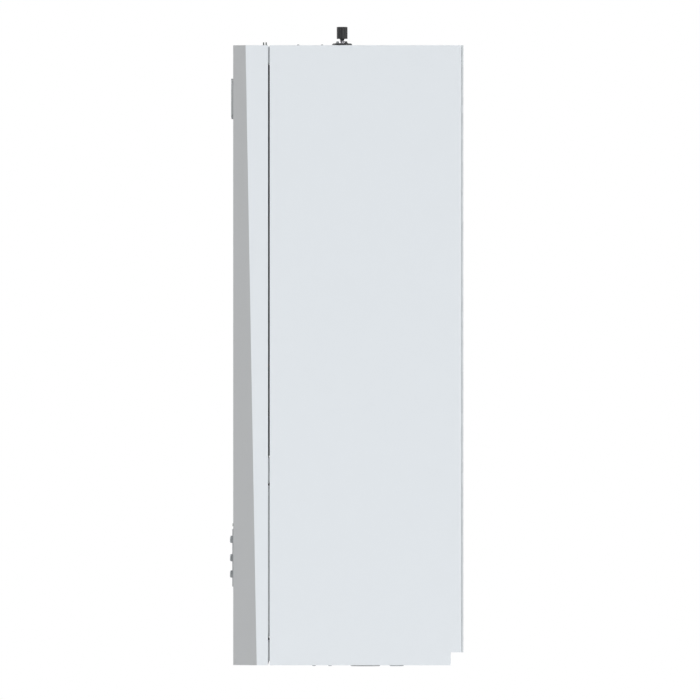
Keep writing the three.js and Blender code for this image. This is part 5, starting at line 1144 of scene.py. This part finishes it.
# Pump: a cast body on the return block, and a black motor with cooling ribs, held by four screws. A
# slotted plug in its nose gives a way to the shaft.
round_off("pump_body", cast_metal("Grey cast iron, painted", "#4A4E50", 0.0012, 0.55, 0.2), 0.0008)
round_off("pump_impeller", nylon, 0, sharp=33)
pump_low, pump_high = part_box("pump_motor")
nose = pump_high.y - pump_low.y
motor = turned([
    (0.0415, 0), (0.042, 0.0005), (0.042, 0.0045), (0.0415, 0.005), (0.036, 0.005),
    (0.036, nose - 0.0085), (0.0345, nose - 0.0058), (0.0265, nose - 0.0022),
    (0.0258, nose - 0.002), (0.0085, nose - 0.002), (0.0085, nose - 0.0032),
    (0.0071, nose - 0.0032), (0.0071, nose - 0.0004), (0.0067, nose),
], sides=96)
cuts = [turned([(0.0034, -0.01), (0.0034, 0.0370)], sides=24),
        bar((-0.0045, -0.0011, nose - 0.0012), (0.0045, 0.0011, 1)),
        *bars_round((0.0345, -0.0017, 0.009), (0.040, 0.0017, nose - 0.014), range(0, 360, 18))]
motor = facing(carve(motor, *cuts), (pump_x, pump_high.y, pump_z), to_front)
motor_black = cast_metal("Black cathodic paint on aluminium", "#26282A", 0.001, 0.45, 0.1)
stands_for(motor, "pump_motor", motor_black, 32)
pump_screw = carve(
    turned([(0.0037, 0), (0.0040, 0.0003), (0.0040, 0.0042), (0.0036, 0.0046)], sides=24),
    turned([(0.0020, 0.0020), (0.0020, 0.008)], sides=6))
fasten(pump_screw, zinc_plated, [
    (f"pump_screw_{n}",
     on_circle(pump_x, pump_high.y - 0.0044, pump_z, 0.0388, math.radians(45 + 90 * n)), to_front, n)
    for n in range(4)])
terminal = soften(bar((pump_x - 0.020, pump_high.y - 0.050, pump_z + 0.034),
                      (pump_x + 0.012, pump_high.y - 0.016, pump_z + 0.0485)), 0.0016)
fit_out(terminal, "pump_terminal_box", nylon, "casing", 30)

# Safety valve: a turned brass body with a drain spout, and a red nylon knob that turns to lift the
# valve off its seat. The knob's edge is scalloped for the fingers.
round_off("safety_valve", brass, 0.0007)
round_off("safety_valve_knob", moulded_plastic("Red nylon", "#B2261D", 0.4, 0.0008, 0.1), 0.0008,
          segments=3, sharp=40)

# Diverter: a motor in a black box with a white connector, which pushes a stainless spindle into the
# flow block. Four screws hold the box's lid.
round_off("diverter_motor", coil_black, 0.0016, segments=3, sharp=40)
round_off("diverter_spindle", stainless, 0.0002, sharp=40)
diverter_low, diverter_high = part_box("diverter_motor")
diverter_x, diverter_z = place_of("diverter_motor", "x"), place_of("diverter_motor", "z")
fasten(screw_head(0.0022, 0.0014), zinc_plated, [
    (f"diverter_screw_{n}", (diverter_x + 0.0165 * x, diverter_low.y, diverter_z + 0.0205 * z),
     to_front, 0.6 * n) for n, (x, z) in enumerate(corners)])
plug = soften(bar((diverter_low.x + 0.012, diverter_low.y + 0.010, diverter_high.z),
                  (diverter_low.x + 0.030, diverter_low.y + 0.022, diverter_high.z + 0.011)), 0.0008)
fit_out(plug, "diverter_connector", white_nylon, "casing", 30)

# Condensate trap: a blow-moulded polypropylene bottle with two waists and a collar. Its rail hangs
# on the side panel, and a rubber hose from the exchanger's sump is clamped on it.
trap_low, trap_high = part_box("condensate_trap")
trap_x, trap_y = trap_high.x - 0.0265, place_of("condensate_trap", "y")
out_end, bottle_low, trap_top = trap_low.z, -0.315, trap_high.z - 0.012
bottle_out, waists, waist_depth = 0.0175, (-0.262, -0.210), 0.0012
outlet_sink = 0.0006
trap = turned([
    (0.0076, out_end), (0.0082, out_end + 0.0006), (0.0082, bottle_low), (0.0115, bottle_low + 0.0016),
    (0.0155, bottle_low + 0.0052), (bottle_out, bottle_low + 0.0100),
    *[(bottle_out - deep, waist + up) for waist in waists
      for deep, up in ((0, 0), (waist_depth, 0.0015), (waist_depth, 0.0055), (0, 0.007))],
    (bottle_out, trap_top - 0.0095), (0.0155, trap_top - 0.0045), (0.0125, trap_top - 0.0010),
    (0.011, trap_top + 0.0004), (0.011, trap_high.z - 0.0036), (0.0119, trap_high.z - 0.0030),
    (0.0119, trap_high.z - 0.0008), (0.0110, trap_high.z),
], (trap_x, trap_y, 0), sides=64)
rail_z = (trap_top + bottle_low) / 2
rail = soften(bar((trap_x, trap_y - 0.008, rail_z - 0.010),
                  (trap_high.x, trap_y + 0.008, rail_z + 0.010)), 0.0008)
mouth = turned([(0.0083, trap_top), (0.0083, trap_high.z + 0.01)], (trap_x, trap_y, 0), sides=40)
drain = turned([(0.0063, out_end - 0.01), (0.0063, bottle_low)], (trap_x, trap_y, 0), sides=40)
trap = stands_for(carve(unite(trap, rail), mouth, drain), "condensate_trap", polypropylene, 32)
pull(trap, lambda place: place.z < out_end + 0.0002, (0, 0, -outlet_sink))
hose = bent_pipe([
    (sump_x, sump_y, sump_low - clearance), (sump_x, sump_y, sump_low - 0.050),
    (trap_x, trap_y, floor_top + 0.0673), (trap_x, trap_y, trap_top + clearance),
], 0.008, 0.030)
stands_for(hose, "condensate_hose", moulded_rubber("Black EPDM hose", "#1C1D1E", 0.6, 0.003))
hose_clamp = unite(
    turned([(0.0081, -0.004), (0.0089, -0.004), (0.0089, 0.004), (0.0081, 0.004)], sides=40,
           hollow=True),
    bar((0.0084, -0.0016, -0.004), (0.0125, 0.0016, 0.004)))
fasten(hose_clamp, stainless, [
    ("hose_clamp_sump", (sump_x, sump_y, sump_low - 0.012), (0, 0, 1), 2.2),
    ("hose_clamp_trap", (trap_x, trap_y, trap_high.z + 0.010), (0, 0, 1), 2.2)])

# Ignition transformer: a coil cast in black epoxy, on two screws in the left side panel, with a
# spout for the high-voltage lead.
round_off("ignition_transformer", coil_black, 0.0012, segments=3, sharp=40)
box_low, box_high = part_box("ignition_transformer")
spout = turned([(0.0065, 0), (0.0060, 0.004), (0.0052, 0.004), (0.0046, 0.012), (0.0034, 0.012),
                (0.0034, 0.006)])
fasten(spout, coil_black, [
    ("transformer_spout", (box_high.x - 0.011, box_low.y + 0.014, box_high.z), (0, 0, 1), 0)])
fasten(screw_head(0.0026, 0.0016), zinc_plated, [
    (f"transformer_screw_{n}", (box_high.x, box_high.y - 0.010, z), (1, 0, 0), 0.9 * n)
    for n, z in enumerate((box_low.z + 0.008, box_high.z - 0.008))])

# Control box: an ABS tray with two ears, screwed to the casing behind the cover.
abs_plastic = moulded_plastic("Grey ABS", "#A7AAAC", 0.46, 0.0008, 0.16)
round_off("control_box", abs_plastic, 0.0006, sharp=40)
box_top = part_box("control_box")[1].z
fasten(screw_head(0.0038, 0.0022), zinc_plated, [
    (f"ear_screw_{hand}_{n}", (side * 0.1915, casing_rim + 0.0014, box_top - drop), to_front, 0.8 * n)
    for side, hand in hands for n, drop in enumerate((0.008, 0.032))])

# Circuit board: FR4 with relays, capacitors, a display module and plugs on it. The copper tracks
# show through the glossy green solder mask as lighter straight lanes, coarser than real ones.
track, mask = 0.001, linear("#1F5A34")
fr4, tree, shader, place = start_material("Green solder mask on FR4")
upright = node(tree, "Mapping", {"Vector": place, "Rotation": (math.pi / 2, 0, 0)})
lanes = node(tree, "TexBrick", {
    "Vector": upright.outputs[0], "Scale": 1 / (12 * track), "Mortar Size": 0.045, "Color1": mask,
    "Color2": mask, "Mortar": linear("#2B7044")}, offset=0.37, squash=1.0)
step = node(tree, "Bump", {"Height": lanes.outputs["Fac"], "Strength": 0.2, "Distance": 0.0001})
node(tree, shader, {"Base Color": lanes.outputs["Color"], "Roughness": 0.28, "Coat Weight": 0.4,
                    "Normal": step.outputs["Normal"]})
board = round_off("circuit_board", fr4, 0.0003)
for finish in (moulded_plastic("Blue relay housing", "#2C4F8A", 0.35, 0.0009, 0.05),
               moulded_plastic("Dark heat-shrink sleeve", "#23262C", 0.35, 0.0012, 0.05),
               moulded_plastic("Black display module", "#141617", 0.25, 0.0009, 0.03), white_nylon):
    board.data.materials.append(finish)
parts_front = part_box("circuit_board")[1].y - 0.0035  # what lies in front of it stands on the board
top_row, plug_row, relay_end, sleeve_start = -0.205, -0.262, -0.02, 0.055
for face in board.data.polygons:
    x, y, z = face.center
    if y > parts_front:
        continue
    if z > top_row:
        face.material_index = 1 if x < relay_end else 2
    elif z < plug_row:
        face.material_index = 4
    else:
        face.material_index = 2 if x > sleeve_start else 3

# Control panel: grey ABS like the tray, with its raised part standing in the cover's window.
cover_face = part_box("front_cover")[0].y
panel_rise = 0.0002
panel = round_off("control_panel", abs_plastic, 0.0004, segments=3, sharp=40)
pull(panel, lambda place: place.y < cover_face - 0.0002, (0, -panel_rise, 0))

# Display lens: a glossy pane of smoked acrylic, behind which two seven-segment numerals show the
# flow temperature. The numerals are clear windows in the black print on the pane's back.
numeral_height, numeral_width, stroke, numeral_deep = 0.022, 0.0115, 0.0023, 0.00023
segment_ends = {  # of each segment, as shares of half the width and half the height
    "a": ((-1, 1), (1, 1)), "b": ((1, 1), (1, 0)), "c": ((1, 0), (1, -1)), "d": ((-1, -1), (1, -1)),
    "e": ((-1, 0), (-1, -1)), "f": ((-1, 1), (-1, 0)), "g": ((-1, 0), (1, 0)),
}
acrylic = surface("Smoked acrylic", (linear("#15191B"), linear("#1C2124")), 0.06, tone=(0.02, 2),
                  sockets={"IOR": 1.49, "Coat Weight": 0.5, "Coat Roughness": 0.03})
round_off("display_lens", acrylic, 0.0003)
lit = surface("Lit numerals in the acrylic", (linear("#CFE6E4"), linear("#DDF0EE")), 0.12,
              tone=(0.004, 1), sockets={"Emission Strength": 0.35})
lens_low, lens_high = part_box("display_lens")
lens_x, lens_z = (lens_low.x + lens_high.x) / 2, (lens_low.z + lens_high.z) / 2
half_wide, half_tall = numeral_width / 2, numeral_height / 2
tip = stroke / math.sqrt(3)  # a six-sided bar as wide as the stroke reaches this far
for n, (offset, shape) in enumerate(((-0.0085, "acdefg"), (0.0085, "abcdef"))):
    segments = []
    for letter in shape:
        (u0, w0), (u1, w1) = segment_ends[letter]
        lying = u0 != u1
        reach = (half_wide if lying else half_tall / 2) - tip - stroke * 0.08
        at = (lens_x + offset + (u0 + u1) / 2 * half_wide, lens_low.y + 0.000085,
              lens_z + (w0 + w1) / 2 * half_tall)
        bpy.ops.object.select_all(action="DESELECT")
        bpy.ops.mesh.primitive_cylinder_add(vertices=6, radius=tip, depth=numeral_deep, location=at,
                                            rotation=(math.pi / 2, math.pi / 2 if lying else 0, 0))
        bpy.ops.object.transform_apply(location=True, rotation=True, scale=True)
        segment = bpy.context.object
        axis, along = (0, (reach, 0, 0)) if lying else (2, (0, 0, reach))
        pull(segment, lambda place: place[axis] > at[axis] + tip / 4, along)
        pull(segment, lambda place: place[axis] < at[axis] - tip / 4, [-step for step in along])
        segments.append(segment)
    only(segments[0])
    for segment in segments:
        segment.select_set(True)
    bpy.ops.object.join()
    fit_out(bpy.context.object, f"numeral_{n}", lit, "casing")

# Status light: a clear acrylic light guide with round ends. Unlit, it is a pale green grey.
guide = surface("Frosted acrylic light guide", (linear("#8D9A92"), linear("#9CA89F")), 0.22,
                tone=(0.003, 1), sockets={"Coat Weight": 0.3})
light_rise = 0.0005
status_light = round_off("status_light", guide, 0.00025, segments=3, sharp=40)
pull(status_light, lambda place: place.y < cover_face - 0.0002, (0, -light_rise, 0))

# Push buttons: ABS caps with a dished face and a round edge, sprayed with silver lacquer that
# has a dull metal sheen. The upper two carry a plus and a minus sign, the lowest a ring, each
# sunk into the cap and filled with dark grey paint.
sign_grey = moulded_plastic("Dark grey fill paint", "#3B3F42", 0.5, 0.0006, 0.05)
button_silver = plated_steel("Silver lacquer on ABS", "#A4A7A9", 0.42, metallic=0.35)
cap_reach, stem_reach, collar_reach, collar_thick = 0.00415, 0.0018, 0.0054, 0.0008
dish_deep, sign_reach, sign_stroke = 0.00035, 0.0016, 0.00028  # half the sign's length and width
edge = ((0, 0.0012), (0.00012, 0.00074), (0.00045, 0.00030), (0.00090, 0.00006), (0.00125, 0),
        (0.0020, 0.00022), (0.0030, dish_deep))  # inwards from the side, and down from the top
for name in ("button_top", "button_middle", "button_bottom"):
    low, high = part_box(name)
    x, z = (low.x + high.x) / 2, (low.z + high.z) / 2
    collar_top, cap_top = high.y - lens_high.y - clearance, high.y - low.y
    cap = turned([
        (stem_reach, 0), (stem_reach, collar_top - collar_thick),
        (collar_reach, collar_top - collar_thick), (collar_reach, collar_top),
        (cap_reach, collar_top), *[(cap_reach - inwards, cap_top - down) for inwards, down in edge],
    ], (x, high.y, z), to_front, sides=64)
    stands_for(cap, name, button_silver, 32)
    dish = low.y + dish_deep
    if name == "button_bottom":
        sign = turned([(0.00095, 0), (0.00150, 0), (0.00150, 0.00012), (0.00095, 0.00012)],
                      (x, dish + 0.0001, z), to_front, sides=40, hollow=True)
    else:
        sign = bar((x - sign_reach, dish - 0.00002, z - sign_stroke),
                   (x + sign_reach, dish + 0.0001, z + sign_stroke))
        if name == "button_top":
            sign = unite(sign, bar((x - sign_stroke, dish - 0.00002, z - sign_reach),
                                   (x + sign_stroke, dish + 0.0001, z + sign_reach)))
        sign = soften(sign, 0.00002, segments=1)
    fit_out(sign, name + "_sign", sign_grey, body_of[name])
